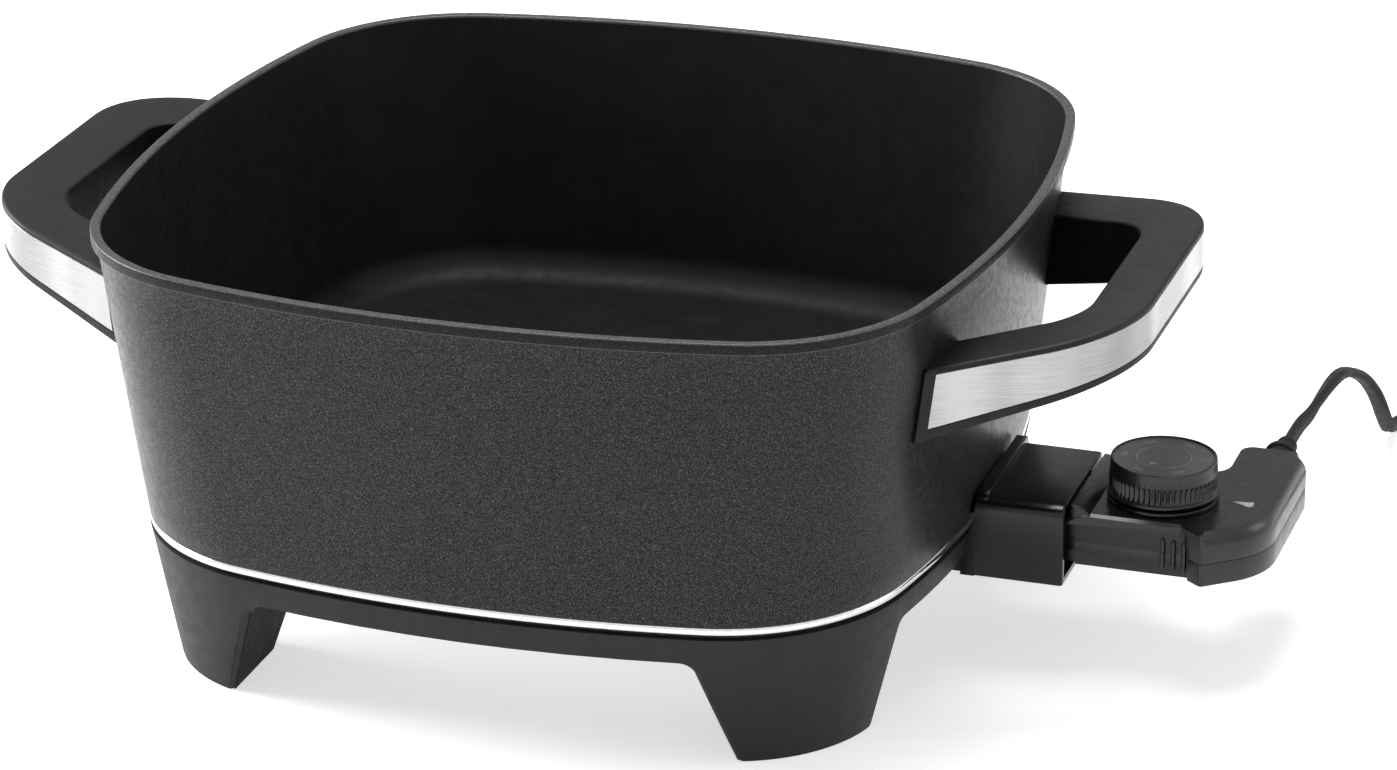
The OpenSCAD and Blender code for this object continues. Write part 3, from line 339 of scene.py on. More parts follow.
def combined(obj, tool, operation):
    face_out(obj)
    face_out(tool)
    modifier = obj.modifiers.new(operation.lower(), "BOOLEAN")
    modifier.operation = operation
    modifier.solver = "EXACT"
    modifier.object = tool
    applied(obj)
    bpy.data.objects.remove(tool)
    return obj


def cut(obj, *tools):
    for tool in tools:
        combined(obj, tool, "DIFFERENCE")
    return obj


def softened(obj, width, angle=38, weld=0.02):
    """Small rounding along every sharp edge."""
    reworked(obj, lambda work: bmesh.ops.remove_doubles(work, verts=work.verts, dist=weld * MM))
    modifier = obj.modifiers.new("soft_edges", "BEVEL")
    modifier.width = width * MM
    modifier.segments = 2
    modifier.limit_method = "ANGLE"
    modifier.angle_limit = radians(angle)
    modifier.miter_outer = "MITER_ARC"
    return applied(obj)


def flipped(obj, side):
    """Mirror image across the YZ plane, for the piece on the left."""
    if side < 0:
        obj.data.transform(Matrix.Scale(-1, 4, (1, 0, 0)))
    return obj


def crisp_tops(obj):
    """Hard edges round every level face that looks up."""
    tops = [face for face in obj.data.polygons if face.normal.z > 0.999]
    keys = {key for face in tops for key in face.edge_keys}
    for edge in obj.data.edges:
        if edge.key in keys:
            edge.use_edge_sharp = True
    return obj


def piece(obj, body, slot, stands_for, *finishes, crease=34):
    """Finishes a visible piece: shading, finishes, and the body that it moves with."""
    face_out(obj)
    for finish in finishes:
        obj.data.materials.append(finish)
    obj.data.shade_smooth()
    obj.data.set_sharp_from_angle(angle=radians(crease))
    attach(obj, body)
    if stands_for:
        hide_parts(*stands_for.split())
    return obj


# ---- camera

def aim_camera():
    """The photograph's viewpoint: a long lens, a little to the right of the front and above."""
    azimuth, elevation, roll = radians(18.58), radians(22.32), radians(-0.48)
    target, distance = Vector((28.757, 29.643, 71.638)) * MM, 1.918
    back = Vector((sin(azimuth) * cos(elevation), -cos(azimuth) * cos(elevation), sin(elevation)))
    right = Vector((0, 0, 1)).cross(back).normalized()
    up = back.cross(right)
    across, upright = right * cos(roll) + up * sin(roll), up * cos(roll) - right * sin(roll)
    data = bpy.data.cameras.new("photo_camera")
    data.sensor_width, data.lens = 36, 131.6
    data.clip_start, data.clip_end = 0.01, 30
    camera = linked("photo_camera", data)
    turn = Matrix((across, upright, back)).transposed().to_4x4()
    camera.matrix_world = Matrix.Translation(target + back * distance) @ turn
    bpy.context.scene.camera = camera


aim_camera()


# ---- materials

def feed(tree, socket, value):
    """Sets an input to a value, or links it to the output that is given."""
    if isinstance(value, bpy.types.NodeSocket):
        tree.links.new(value, socket)
    else:
        socket.default_value = value


def added(tree, kind, inputs, output=0, **settings):
    """Output of a new shader node with these inputs."""
    node = tree.nodes.new("ShaderNode" + kind)
    for key, value in settings.items():
        setattr(node, key, value)
    for key, value in inputs.items():
        feed(tree, node.inputs[key], value)
    return node.outputs[output]


def sum_of(tree, a, b, operation="ADD"):
    return added(tree, "Math", {0: a, 1: b}, operation=operation)


def material_tree(name):
    material = bpy.data.materials.new(name)
    material.use_nodes = True
    return material, material.node_tree


def surface(name, color, other, roughness, tint, gloss, relief, span=(0.35, 0.65), reflection_streaks=0,
            metallic=0.0, specular=0.5, clear=0.0):
    """Principled material whose colour, gloss and relief vary with procedural patterns.

    tint is the pattern that mixes the colours, gloss is (pattern, change of the roughness), and
    relief is (pattern, depth in mm, strength). A pattern is (size in mm, detail, and how far it
    is drawn out along each axis); a detail of 0 makes it cells, and any other makes it noise."""
    material, tree = material_tree(name)
    place = added(tree, "TexCoord", {}, "Object")
    made = {}

    def pattern(spec):
        if spec not in made:
            size, detail, *stretch = spec
            scale = [1 / (size * MM * s) for s in stretch or (1, 1, 1)]
            where = added(tree, "Mapping", {"Vector": place, "Scale": scale})
            kind, more = ("TexNoise", {"Detail": detail}) if detail else ("TexVoronoi", {})
            made[spec] = added(tree, kind, {"Vector": where, "Scale": 1, **more})
        return made[spec]

    def varied(spec, low, high):
        return added(tree, "MapRange", {"Value": pattern(spec), "From Min": 0.35,
                                        "From Max": 0.65, "To Min": low, "To Max": high})

    mix = pattern(tint)
    # Broad streaks mixed into the colour are painted reflections.
    if reflection_streaks:
        mix = sum_of(tree, varied(tint, -0.06, 0.06), pattern((reflection_streaks, 1, 1, 1, 8)))
    shade = added(tree, "ValToRGB", {"Fac": mix})
    for stop, position, value in zip(shade.node.color_ramp.elements, span, (color, other)):
        stop.position = position
        stop.color = (*value, 1)
    change = gloss[1]
    bump = {"Height": pattern(relief[0]), "Distance": relief[1] * MM, "Strength": relief[2]}
    sockets = {
        "Base Color": shade, "Metallic": metallic, "Specular IOR Level": specular,
        "Roughness": varied(gloss[0], max(roughness - change, 0.02), min(roughness + change, 1)),
        "Normal": added(tree, "Bump", bump),
    }
    if clear:
        sockets.update({"Transmission Weight": clear, "IOR": 1.46})
    shader = tree.nodes["Principled BSDF"]
    for socket, value in sockets.items():
        feed(tree, shader.inputs[socket], value)
    return material


def grey(value, blue=None):
    return value, value, value if blue is None else blue


def pan_coating(name, color, fleck, roughness, specular=0.5):
    """Dark coating with a fine metallic fleck."""
    return surface(name, color, fleck, roughness, (0.42, 2), ((3, 3), 0.06),
                   ((0.42, 2), 0.03, 0.5), (0.48, 0.66), metallic=0.2, specular=specular)


def moulded(name, color, other, roughness, texture=0.35, depth=0.012, specular=0.5):
    """Moulded plastic: a fine texture, and slow changes of colour and gloss."""
    return surface(name, color, other, roughness, (18, 4), ((5, 4), min(0.05, roughness * 0.3)),
                   ((texture, 2), depth, 0.6), specular=specular)


def brushed(name, color, other, roughness, along, reflection_streaks=0):
    """Steel with fine lines, drawn out along the brushing, and broad soft streaks across it that
    are painted reflections.
    """
    lines = (0.3, 4, *along)
    return surface(name, color, other, roughness, lines, (lines, 0.05), (lines, 0.003, 0.4),
                   (0.36, 0.62) if reflection_streaks else (0.35, 0.65), reflection_streaks, metallic=1.0)


def plated(name, color, other, roughness):
    """Plain metal with faint blotches."""
    return surface(name, color, other, roughness, (2.5, 4), ((1.2, 3), 0.06),
                   ((0.3, 2), 0.006, 0.4), metallic=1.0)


def gloss_black(name, color, roughness, specular):
    return surface(name, color, [1.5 * c for c in color], roughness, (25, 3), ((6, 5), 0.03),
                   ((14, 2), 0.03, 0.35), specular=specular)


def woven(name, color, other):
    return surface(name, color, other, 0.8, (0.5, 0), ((1.5, 3), 0.06), ((0.5, 0), 0.08, 0.7),
                   (0.1, 0.6))


COAT = pan_coating("pan_outside", grey(0.003), grey(0.088, 0.087), 0.36, 0.22)
# This darker copy of the pan's coating is painted shade on the lip's side face.
LIP_SHADED = pan_coating("pan_lip_painted_shade", grey(0.003, 0.0032), (0.03, 0.031, 0.032), 0.45, 0.2)
# This lighter copy of the pan's coating is painted light: the rim's top face and its roundings, lit
# from above.
RIM_LIT = pan_coating("pan_rim_painted_light", (0.03, 0.031, 0.032), (0.14, 0.143, 0.148), 0.42)
INSIDE = moulded("pan_inside", grey(0.0065, 0.007), grey(0.009, 0.0095), 0.5, 0.8, 0.02, 0.15)
UNDERSIDE = plated("pan_underside", grey(0.3), grey(0.22), 0.5)
BASE_BLACK = moulded("base_black", grey(0.016, 0.017), grey(0.02, 0.0215), 0.5, specular=0.27)
# This darker, nearly unreflective copy of the base's plastic is painted shade for the inside faces,
# where the skillet's shadow falls.
BASE_SHADED = moulded("base_painted_shade", grey(0.01, 0.0107), grey(0.014, 0.015), 0.6, specular=0.06)
HANDLE_BLACK = moulded("handle_black", grey(0.0102, 0.0115), grey(0.0132, 0.0146), 0.5,
                       specular=0.25)
# This darker, nearly unreflective copy of the handle's plastic is painted shade for the walls of
# the handle's opening, which face the pan.
HANDLE_SHADED = moulded("handle_matt", grey(0.006, 0.0066), grey(0.008, 0.0088), 0.6,
                      specular=0.08)
GLOSS = gloss_black("gloss_black", grey(0.003, 0.0035), 0.2, 0.36)
CASE_BLACK = gloss_black("case_black", grey(0.006, 0.0065), 0.28, 0.48)
DIAL_BLACK = moulded("dial_black", grey(0.009, 0.0095), grey(0.012, 0.0125), 0.3, 0.3, 0.008)
DIAL_FACE = moulded("dial_face", grey(0.095, 0.096), grey(0.105, 0.107), 0.45, 0.3, 0.008)
MARKS = moulded("dial_marks", grey(0.3, 0.295), grey(0.36, 0.355), 0.6)
CORD_GREY = moulded("cord_grey", grey(0.009, 0.0095), grey(0.015, 0.0155), 0.6, 0.5, 0.03, 0.2)
PLUG_BLACK = moulded("plug_black", grey(0.014, 0.015), grey(0.019, 0.02), 0.45)
TIE_BLACK = woven("tie_black", grey(0.014), grey(0.03))
TRIM_STEEL = plated("trim_steel", grey(0.78, 0.76), grey(0.7, 0.68), 0.14)
# The bands' colour holds painted reflections: broad lighter and darker streaks.
BAND_STEEL = brushed("band_steel", (0.44, 0.432, 0.428), (0.29, 0.285, 0.28), 0.26,
                     (60, 60, 0.6), 26)
SCREW_STEEL = plated("screw_steel", grey(0.5, 0.51), grey(0.38, 0.39), 0.35)
SHIELD_STEEL = brushed("shield_steel", grey(0.6), grey(0.48), 0.4, (30, 0.6, 30))
SHEATH_STEEL = plated("sheath_steel", (0.2, 0.18, 0.16), (0.1, 0.09, 0.085), 0.45)
PIN_STEEL = plated("pin_steel", grey(0.72, 0.71), grey(0.62, 0.61), 0.2)
PROBE_STEEL = brushed("probe_steel", (0.42, 0.41, 0.4), (0.34, 0.335, 0.33), 0.3, (0.6, 30, 30))
CERAMIC = moulded("ceramic", (0.72, 0.69, 0.62), (0.64, 0.61, 0.55), 0.7, 0.5, 0.03)
CAST = plated("cast_aluminium", grey(0.46), grey(0.36), 0.5)
RESIN = moulded("contact_resin", (0.5, 0.44, 0.32), (0.42, 0.36, 0.26), 0.6)
BRASS = plated("brass", (0.72, 0.52, 0.22), (0.6, 0.42, 0.17), 0.28)
SLEEVING = woven("lead_sleeving", (0.6, 0.59, 0.55), (0.42, 0.41, 0.38))
LENS = surface("milky_lens", (0.55, 0.54, 0.5), (0.66, 0.65, 0.61), 0.28, (2, 3),
               ((1.5, 3), 0.05), ((0.6, 3), 0.01, 0.4), clear=0.25)
LAMP = surface("lamp_glass", (0.85, 0.62, 0.45), (0.75, 0.5, 0.36), 0.08, (3, 3),
               ((2, 3), 0.03), ((1, 3), 0.01, 0.3), clear=0.8)

CAD_FINISHES = [
    (SCREW_STEEL, "base_screws shield_screws clip_screws receiver_screws guard_screws "
                  "left_handle_screws right_handle_screws case_screws"),
    (SHIELD_STEEL, "heat_shield element_clips thermostat_frame"),
    (SHEATH_STEEL, "heating_element"), (PIN_STEEL, "terminal_pins dial_shaft"),
    (CERAMIC, "pin_insulators cam_follower"), (CAST, "probe_receiver"), (RESIN, "contact_block"),
    (BRASS, "contact_sleeves plug_blades"), (PROBE_STEEL, "probe_rod"),
    (LAMP, "indicator_lamp"), (SLEEVING, "supply_leads"),
]


def dress_cad_nodes():
    for finish, names in CAD_FINISHES:
        for name in names.split():
            for slot in nodes[name].material_slots:
                slot.material = finish


# ---- cord

# The cord's route where it isn't coiled: its points in metres, as in the part's source
CORD_ROUTE = [
    (0.2445, 0.075, 0.056), (0.2445, 0.084, 0.056), (0.245, 0.095, 0.0563),
    (0.2463, 0.106, 0.0563), (0.247, 0.117, 0.057), (0.248, 0.129, 0.058), (0.249, 0.141, 0.058),
    (0.25, 0.152, 0.056), (0.252, 0.162, 0.052), (0.254, 0.172, 0.046), (0.256, 0.181, 0.038),
    (0.257, 0.19, 0.029), (0.257, 0.2, 0.02), (0.257, 0.211, 0.011), (0.256, 0.223, 0.0055),
    (0.258, 0.234, 0.004), (0.262, 0.242, 0.004), (0.268, 0.249, 0.004), (0.276, 0.253, 0.004),
    (0.285, 0.255, 0.004), (0.294, 0.256, 0.004),
]
TAIL_ROUTE = [(0.346, 0.209, 0.0078), (0.346, 0.199, 0.008), (0.346, 0.19, 0.008),
              (0.346, 0.182, 0.008)]


def smooth_step(t):
    t = max(0, min(1, t))
    return t * t * (3 - 2 * t)


def eased(value, way, *stages):
    """Value carried to the target of each (target, start, length) stage in turn."""
    for target, start, length in stages:
        value += (target - value) * smooth_step((way - start) / length)
    return value


def through(points, per=4):
    """Smooth curve through points (Catmull-Rom), with so many steps between each two."""
    points = [Vector(p) for p in points]
    out = []
    for i in range(len(points) - 1):
        a, b = points[max(i - 1, 0)], points[i]
        c, d = points[i + 1], points[min(i + 2, len(points) - 1)]
        for k in range(per):
            t = k / per
            out.append(0.5 * (2 * b + (c - a) * t + (2 * a - 5 * b + 4 * c - d) * t ** 2
                              + (3 * b - a - 3 * c + d) * t ** 3))
    return out + [points[-1]]


def coil_turns(start):
    """Two turns side by side on the table and one on top, wound clockwise to the plug's side."""
    centre = COIL_AT * MM
    first = start - centre
    start_angle = atan2(first.y, first.x)
    whole = 3 * 2 * pi + start_angle
    low, high = COIL_LIFT + CORD_T / 2, COIL_LIFT + CORD_T * 1.5 + 0.1
    outer, inner, top = TURN_R
    steps = int(whole / radians(6))
    out = []
    for k in range(1, steps + 1):
        way = whole * k / steps
        r = eased(hypot(first.x, first.y) / MM, way,
                  (outer, 0, 1), (inner, 5.6, 1.4), (top, 11.9, 1.2))
        z = eased(start.z / MM, way, (low, 0, 0.6), (high, 11.5, 1.4))
        a = start_angle - way
        out.append(centre + Vector((r * cos(a), r * sin(a), z)) * MM)
    return out


def lead_section(angle):
    """Section of the flat lead, with the shallow groove between its two cores."""
    c, s = cos(angle), sin(angle)
    u = CORD_W / 2 * abs(c) ** 0.85 * (1 if c > 0 else -1)
    v = CORD_T / 2 * abs(s) ** 0.8 * (1 if s > 0 else -1)
    return u, v * (1 - 0.13 * exp(-(u / 0.8) ** 2))


def cord():
    """The whole lead, from the strain relief through its coil to the plug."""
    path = through(CORD_ROUTE)
    path += coil_turns(path[-1])
    path += through([path[-1]] + TAIL_ROUTE, 3)[1:]
    section = [lead_section(2 * pi * k / CORD_SIDES) for k in range(CORD_SIDES)]
    rings = []
    run = 0.0
    for i, p in enumerate(path):
        ahead, behind = path[min(i + 1, len(path) - 1)], path[max(i - 1, 0)]
        run += (p - behind).length
        along = (ahead - behind).normalized()
        side = along.cross(Vector((0, 0, 1))).normalized()
        up = side.cross(along)
        twist = radians(90) * (1 - smooth_step((run - 0.012) / 0.075))
        wide = side * cos(twist) + up * sin(twist)
        thin = up * cos(twist) - side * sin(twist)
        rings.append([p / MM + wide * u + thin * v for u, v in section])
    obj = piece(loft("cord", rings), "controller", "cord_rubber", "cord cord_coil cord_tail",
                CORD_GREY, crease=60)
    return obj, path, run


def strain_relief():
    """Round flange on the tail, then a tapered sleeve with grooves across it."""
    profile = [(0.2, -5), (4.9, -5), (4.9, -2.5), (3.5, -2.5), (3.5, 0.1), (5.2, 0.1),
               (5.2, 6.3), (5.8, 6.4), (6.15, 6.7), (6.3, 7.2), (6.3, 8.6), (6.1, 9.2),
               (5.6, 9.7), (4.8, 10.1)]
    ribs = 4
    pitch = (GLAND_L - 11.6) / ribs
    for k in range(ribs):
        z, r = 10.3 + pitch * k, 4.6 - 0.2 * k
        profile += [(r - 0.8, z), (r - 0.8, z + 0.5), (r - 0.1, z + 0.7), (r, z + 0.9),
                    (r, z + pitch - 0.4), (r - 0.2, z + pitch - 0.2)]
    profile += [(3.9, GLAND_L - 0.9), (3.7, GLAND_L - 0.3), (3.3, GLAND_L), (0.2, GLAND_L)]
    obj = moved(lathe("strain_relief", profile, 64), (GLAND_X + 0.5, TAIL_L, GLAND_Z + 1.2),
                Matrix.Rotation(radians(-90), 4, "X"))
    return piece(obj, "controller", "cord_rubber", "strain_relief", CORD_GREY, crease=40)


def cord_tie():
    """Flat strap round the coil, hugging its turns."""
    reach, t = 4.5, 0.7
    half, top = CORD_W + 0.5, COIL_LIFT + 2 * CORD_T + 0.3
    corners = [(-half, t + 0.05), (half, t + 0.05), (half - 2.4, top), (2.4 - half, top)]
    inner, outer = [rounded(corners, [2.2, 2.2, 2.5, 2.5], d) for d in (0, -t)]
    rings = []
    for outline, at in ((inner, -1), (outer, -1), (outer, -0.97), (outer, 0.97), (outer, 1),
                        (inner, 1)):
        rings.append([(COIL_AT.x + at * reach, COIL_AT.y - TURN_R[2] + y, z) for y, z in outline])
    return piece(loft("cord_tie", rings, closed=True), "controller", "tie_plastic", "cord_tie",
                 TIE_BLACK)


def plug_body():
    """Two-blade plug on its side: a ribbed flex relief, a waisted grip and a wider face."""
    sections = [(3.4, 3.4, 3.3, 0), (3.8, 3.8, 3.7, 0.4)]
    for k in range(5):
        y, r = 1.4 + 2.8 * k, 3.9 + 0.42 * k
        sections += [(r - d, r - d, r - d - 0.1, y + on)
                     for d, on in ((0, 0), (0, 1.5), (0.7, 1.8), (0.7, 2.5))]
    sections += [(6.4, 5.4, 4.4, 15.6), (9.6, 6.4, 4, 17), (11.2, 6.8, 4, 18.6),
                 (11.8, 7, 4, 20.6)]
    for k in range(4):
        y = 22 + 2.4 * k
        sections += [(12, 7, 4, y), (11.5, 6.6, 3.6, y + 0.5), (11.5, 6.6, 3.6, y + 1.2),
                     (12, 7, 4, y + 1.7)]
    sections += [(12.1, 7.1, 4, 32.4), (12.8, 7.6, 4, 32.9), (13, 7.8, 4, 33.5),
                 (13, 7.8, 4, 35.2), (12.6, 7.4, 3.6, 35.8), (12, 6.8, 3, 36)]
    rings = []
    for w, h, r, y in sections:
        outline = rounded(box_corners(-w, w, -h, h), [r] * 4)
        rings.append([(PLUG_AT.x + u, PLUG_AT.y - y, PLUG_AT.z + v) for u, v in outline])
    return piece(loft("plug_body", rings), "controller", "plug_plastic", "plug_body", PLUG_BLACK,
                 crease=30)


lead, lead_path, lead_length = cord()
relief = strain_relief()
tie = cord_tie()
plug = plug_body()


# ---- pan and base

def wall_ring(z):
    """(half width, corner radius, height) of the pan's outside."""
    k = (z - FOOT_Z) / (LIP_Z - FOOT_Z)
    return (FOOT_HALF + (WALL_HALF - FOOT_HALF) * k,
            FOOT_CORNER_R + (PAN_CORNER_R - FOOT_CORNER_R) * k, z)


def lip_ring(half, z):
    return half, PAN_CORNER_R + LIP_OUT - (PAN_HALF - half), z


def wall_x(y, z):
    """Where the pan's side is, at a distance along it and a height."""
    return BOW_C + sqrt((wall_ring(z)[0] - BOW_C) ** 2 - y ** 2)


LUG_TIP = wall_x(LUG_Y, LUG_Z) + LUG_OUT


def pan_lug(sx, sy):
    """Lug that a handle's arm fits over, its root just inside the pan's curved wall."""
    section = box_corners(LUG_Y - LUG_W / 2, LUG_Y + LUG_W / 2, LUG_Z - LUG_H / 2,
                          LUG_Z + LUG_H / 2)
    root = [(sx * (wall_x(y, z) - 1), sy * y, z) for y, z in section]
    return loft("lug", [root, [(sx * LUG_TIP, sy * y, z) for y, z in section]])


def pan_mouth():
    """Rings down the inside, from the rim through the floor's fillet to the floor."""
    top = (PAN_HALF - RIM_FACE, lip_ring(PAN_HALF - RIM_FACE, RIM_Z)[1], RIM_Z - RIM_INNER_R - 0.4)
    fillet_z = FLOOR_Z + FLOOR_FILLET
    low = (wall_ring(fillet_z)[0] - PAN_WALL, FOOT_CORNER_R - INNER_STEP, fillet_z)
    rings = [[a + (b - a) * t for a, b in zip(top, low)]
             for t in [0, 0.008] + [k / 10 for k in range(1, 11)]]
    rings += [(low[0] - d, low[1] - d, fillet_z - down)
              for d, down in quarter_round(FLOOR_FILLET, 12)[1:]]
    return rings + [(low[0] - 40, low[1] - 22, FLOOR_Z), (low[0] - 80, low[1] - 42, FLOOR_Z)]


def pan():
    """Deep bowed square: lip, tapered wall, rounded floor, and the spigot that holds the trim."""
    bare, coat, rim, inside, lip = range(5)
    spigot_in, spigot_z = SPIGOT_HALF - PAN_WALL, BASE_H + CLEAR
    wall_steps, low, high = 12, FOOT_Z + 0.5, LIP_Z - 0.8
    zones = [
        (bare, [(spigot_in - 60, FOOT_CORNER_R - 20, UNDER_Z),
                (spigot_in, FOOT_CORNER_R - 6, UNDER_Z), (spigot_in, FOOT_CORNER_R - 6, spigot_z)]),
        (coat, [(SPIGOT_HALF, FOOT_CORNER_R - 2, spigot_z),
                (SPIGOT_HALF, FOOT_CORNER_R - 2, FOOT_Z),
                (FOOT_HALF - 0.5, FOOT_CORNER_R - 0.5, FOOT_Z),
                (FOOT_HALF - 0.15, FOOT_CORNER_R - 0.15, FOOT_Z + 0.15)]),
        (coat, [wall_ring(low + (high - low) * k / wall_steps) for k in range(wall_steps + 1)]),
        (coat, [lip_ring(WALL_HALF + 0.1, LIP_Z - 0.15), lip_ring(WALL_HALF + 0.3, LIP_Z)]),
        # Painted highlight: the lip's lower rounding takes the lighter rim coating, for a thin
        # light line under the lip.
        (rim, [lip_ring(PAN_HALF - 0.45, LIP_Z), lip_ring(PAN_HALF - 0.12, LIP_Z + 0.12)]),
        # The lip's side face takes the darker coating: painted shade.
        (lip, [lip_ring(PAN_HALF, LIP_Z + 0.45)]),
        # The rim's roundings and top face take the lighter coating: painted light.
        (rim, [lip_ring(PAN_HALF - d, RIM_Z - RIM_OUTER_R + up)
               for d, up in quarter_round(RIM_OUTER_R, 5)]),
        (rim, [lip_ring(PAN_HALF - RIM_FACE + d, RIM_Z - RIM_INNER_R + up)
               for d, up in reversed(quarter_round(RIM_INNER_R, 4))]),
        (inside, pan_mouth()),
    ]
    rings = [at_height(bowed_square(half, r), z) for _, part in zones for half, r, z in part]
    obj = loft("pan", rings)
    marks = [zone for zone, part in zones for _ in part][:-1]
    obj.data.polygons.foreach_set(
        "material_index", [zone for zone in marks for _ in rings[0]] + [bare, inside])
    parts = [cut(obj, block("notch", (INLET_X, -INLET_HALF, BASE_H - 1),
                            (FOOT_HALF + 9, INLET_HALF, UNDER_Z - 0.01)))]
    for sx, sy in CORNERS:
        boss_at = (sx * BASE_SCREW_AT, sy * BASE_SCREW_AT, DECK_Z)
        parts += [pan_lug(sx, sy), rod("boss", boss_at, BOSS_R, UNDER_Z - DECK_Z + 1)]
    return piece(joined("pan", parts), "skillet", "pan_coating", "pan",
                 UNDERSIDE, COAT, RIM_LIT, INSIDE, LIP_SHADED, crease=40)


def trim_ring():
    """Bright half-round band between the pan's foot and the base."""
    z0, z1 = TRIM_LOW.z, TRIM_HIGH.z
    mid = (z0 + z1) / 2
    section = [(SPIGOT_HALF + SEAT, z1), (SPIGOT_HALF + SEAT, z0)]
    section += [(FOOT_HALF + d, z) for d, z in (
        (-0.1, z0), (0, z0 + 0.1), (0.15, mid - 0.5), (0.2, mid), (0.15, mid + 0.5),
        (0, z1 - 0.3), (-0.35, z1))]
    rings = [at_height(bowed_square(half, FOOT_CORNER_R - (FOOT_HALF - half)), z)
             for half, z in section]
    obj = loft("trim_ring", rings, closed=True)
    cut(obj, block("notch", (INLET_X, -INLET_HALF, z0 - 1), (FOOT_HALF + 20, INLET_HALF, z1 + 1)))
    return piece(obj, "skillet", "trim_steel", "trim_ring", TRIM_STEEL, crease=40)


def base_ring(d, z):
    k = z / BASE_H
    half = BASE_FOOT_HALF + (FOOT_HALF - BASE_FOOT_HALF) * k - d
    r = BASE_CORNER_R + (FOOT_CORNER_R - BASE_CORNER_R) * k - d * 0.7
    return at_height(bowed_square(half, r, 10, 22), z)


def base_block(name, d, levels):
    return loft(name, [base_ring(d, z) for z in levels])


def skin_at(u, z):
    """Distance from the middle plane to the base's outside, u along a side and z up."""
    outline = [(x, y) for x, y, _ in base_ring(0, max(z, 0)) if y > abs(x) * 0.7]
    for (x0, y0), (x1, y1) in zip(outline, outline[1:]):
        if min(x0, x1) <= u <= max(x0, x1) and x0 != x1:
            return y0 + (y1 - y0) * (u - x0) / (x1 - x0)
    return outline[0][1]


def opening_outline(gap, lean, top_round, d):
    """Outline of an opening, d wider at each side and flared at the table."""
    foot_x = gap / 2 - lean * LEG_FOOT_R / SKIRT_Z + LEG_FOOT_R + d
    half = [(foot_x, -1)]
    for k in range(5):
        t = pi / 8 * k
        half.append((foot_x - LEG_FOOT_R * sin(t), LEG_FOOT_R * (1 - cos(t))))
    top = SKIRT_Z + 0.3 * d
    half += corner_arc(half[-1], (gap / 2 - lean + d, top), (0, top), top_round, 8)
    straight = half[-1][0]
    half += [(straight * k / 4, top) for k in (3, 2, 1)]
    return half + [(0, top)] + [(-x, z) for x, z in reversed(half)]


# The third finish is painted shade: a darker, nearly unreflective plastic on the base's inside
# faces.
GLOSS_ZONE, SHADED_ZONE = 1, 2     # the base's second and third finish


def in_zone(obj, zone, faces=slice(None)):
    for face in obj.data.polygons[faces]:
        face.material_index = zone
    return obj


def skirt_opening(name, gap, lean, top_round, axis):
    """Cutter of one pair of openings, which also rounds the edges that they make outside."""
    across = []
    for k in range(7):
        t = pi / 12 * k
        outline = opening_outline(gap, lean, top_round, LEG_EDGE_R * (1 - sin(t)))
        across.append([(u, skin_at(u, z) - LEG_EDGE_R * (1 - cos(t)), z) for u, z in outline])
    front = [[(u, PAN_HALF + 3, z) for u, _, z in across[0]]] + across
    back = [[(u, -v, z) for u, v, z in ring] for ring in reversed(front)]
    rings = [[(u, -v, z) if axis == "y" else (v, u, z) for u, v, z in ring]
             for ring in front + back]
    n = len(rings[0])
    # The faces that become the openings' walls take the painted-shade finish.
    return in_zone(loft(name, rings), SHADED_ZONE, slice((len(front) - 1) * n, len(front) * n))


def leg_zones(name, d):
    """Inside of the corner legs, moved in by d from their inner faces."""
    far = FOOT_HALF + 2
    parts = []
    for sx, sy in CORNERS:
        rings = []
        for z in (-1, DECK_Z - 0.5):
            x0 = FRONT_GAP / 2 - FRONT_LEAN / SKIRT_Z * z + d
            y0 = SIDE_GAP / 2 - SIDE_LEAN / SKIRT_Z * z + d
            outline = [(x0 + LEG_BEVEL, y0), (far, y0), (far, far), (x0, far),
                       (x0, y0 + LEG_BEVEL)]
            rings.append([(sx * x, sy * y, z) for x, y in outline])
        parts.append(loft("zone", rings))
    return joined(name, parts)


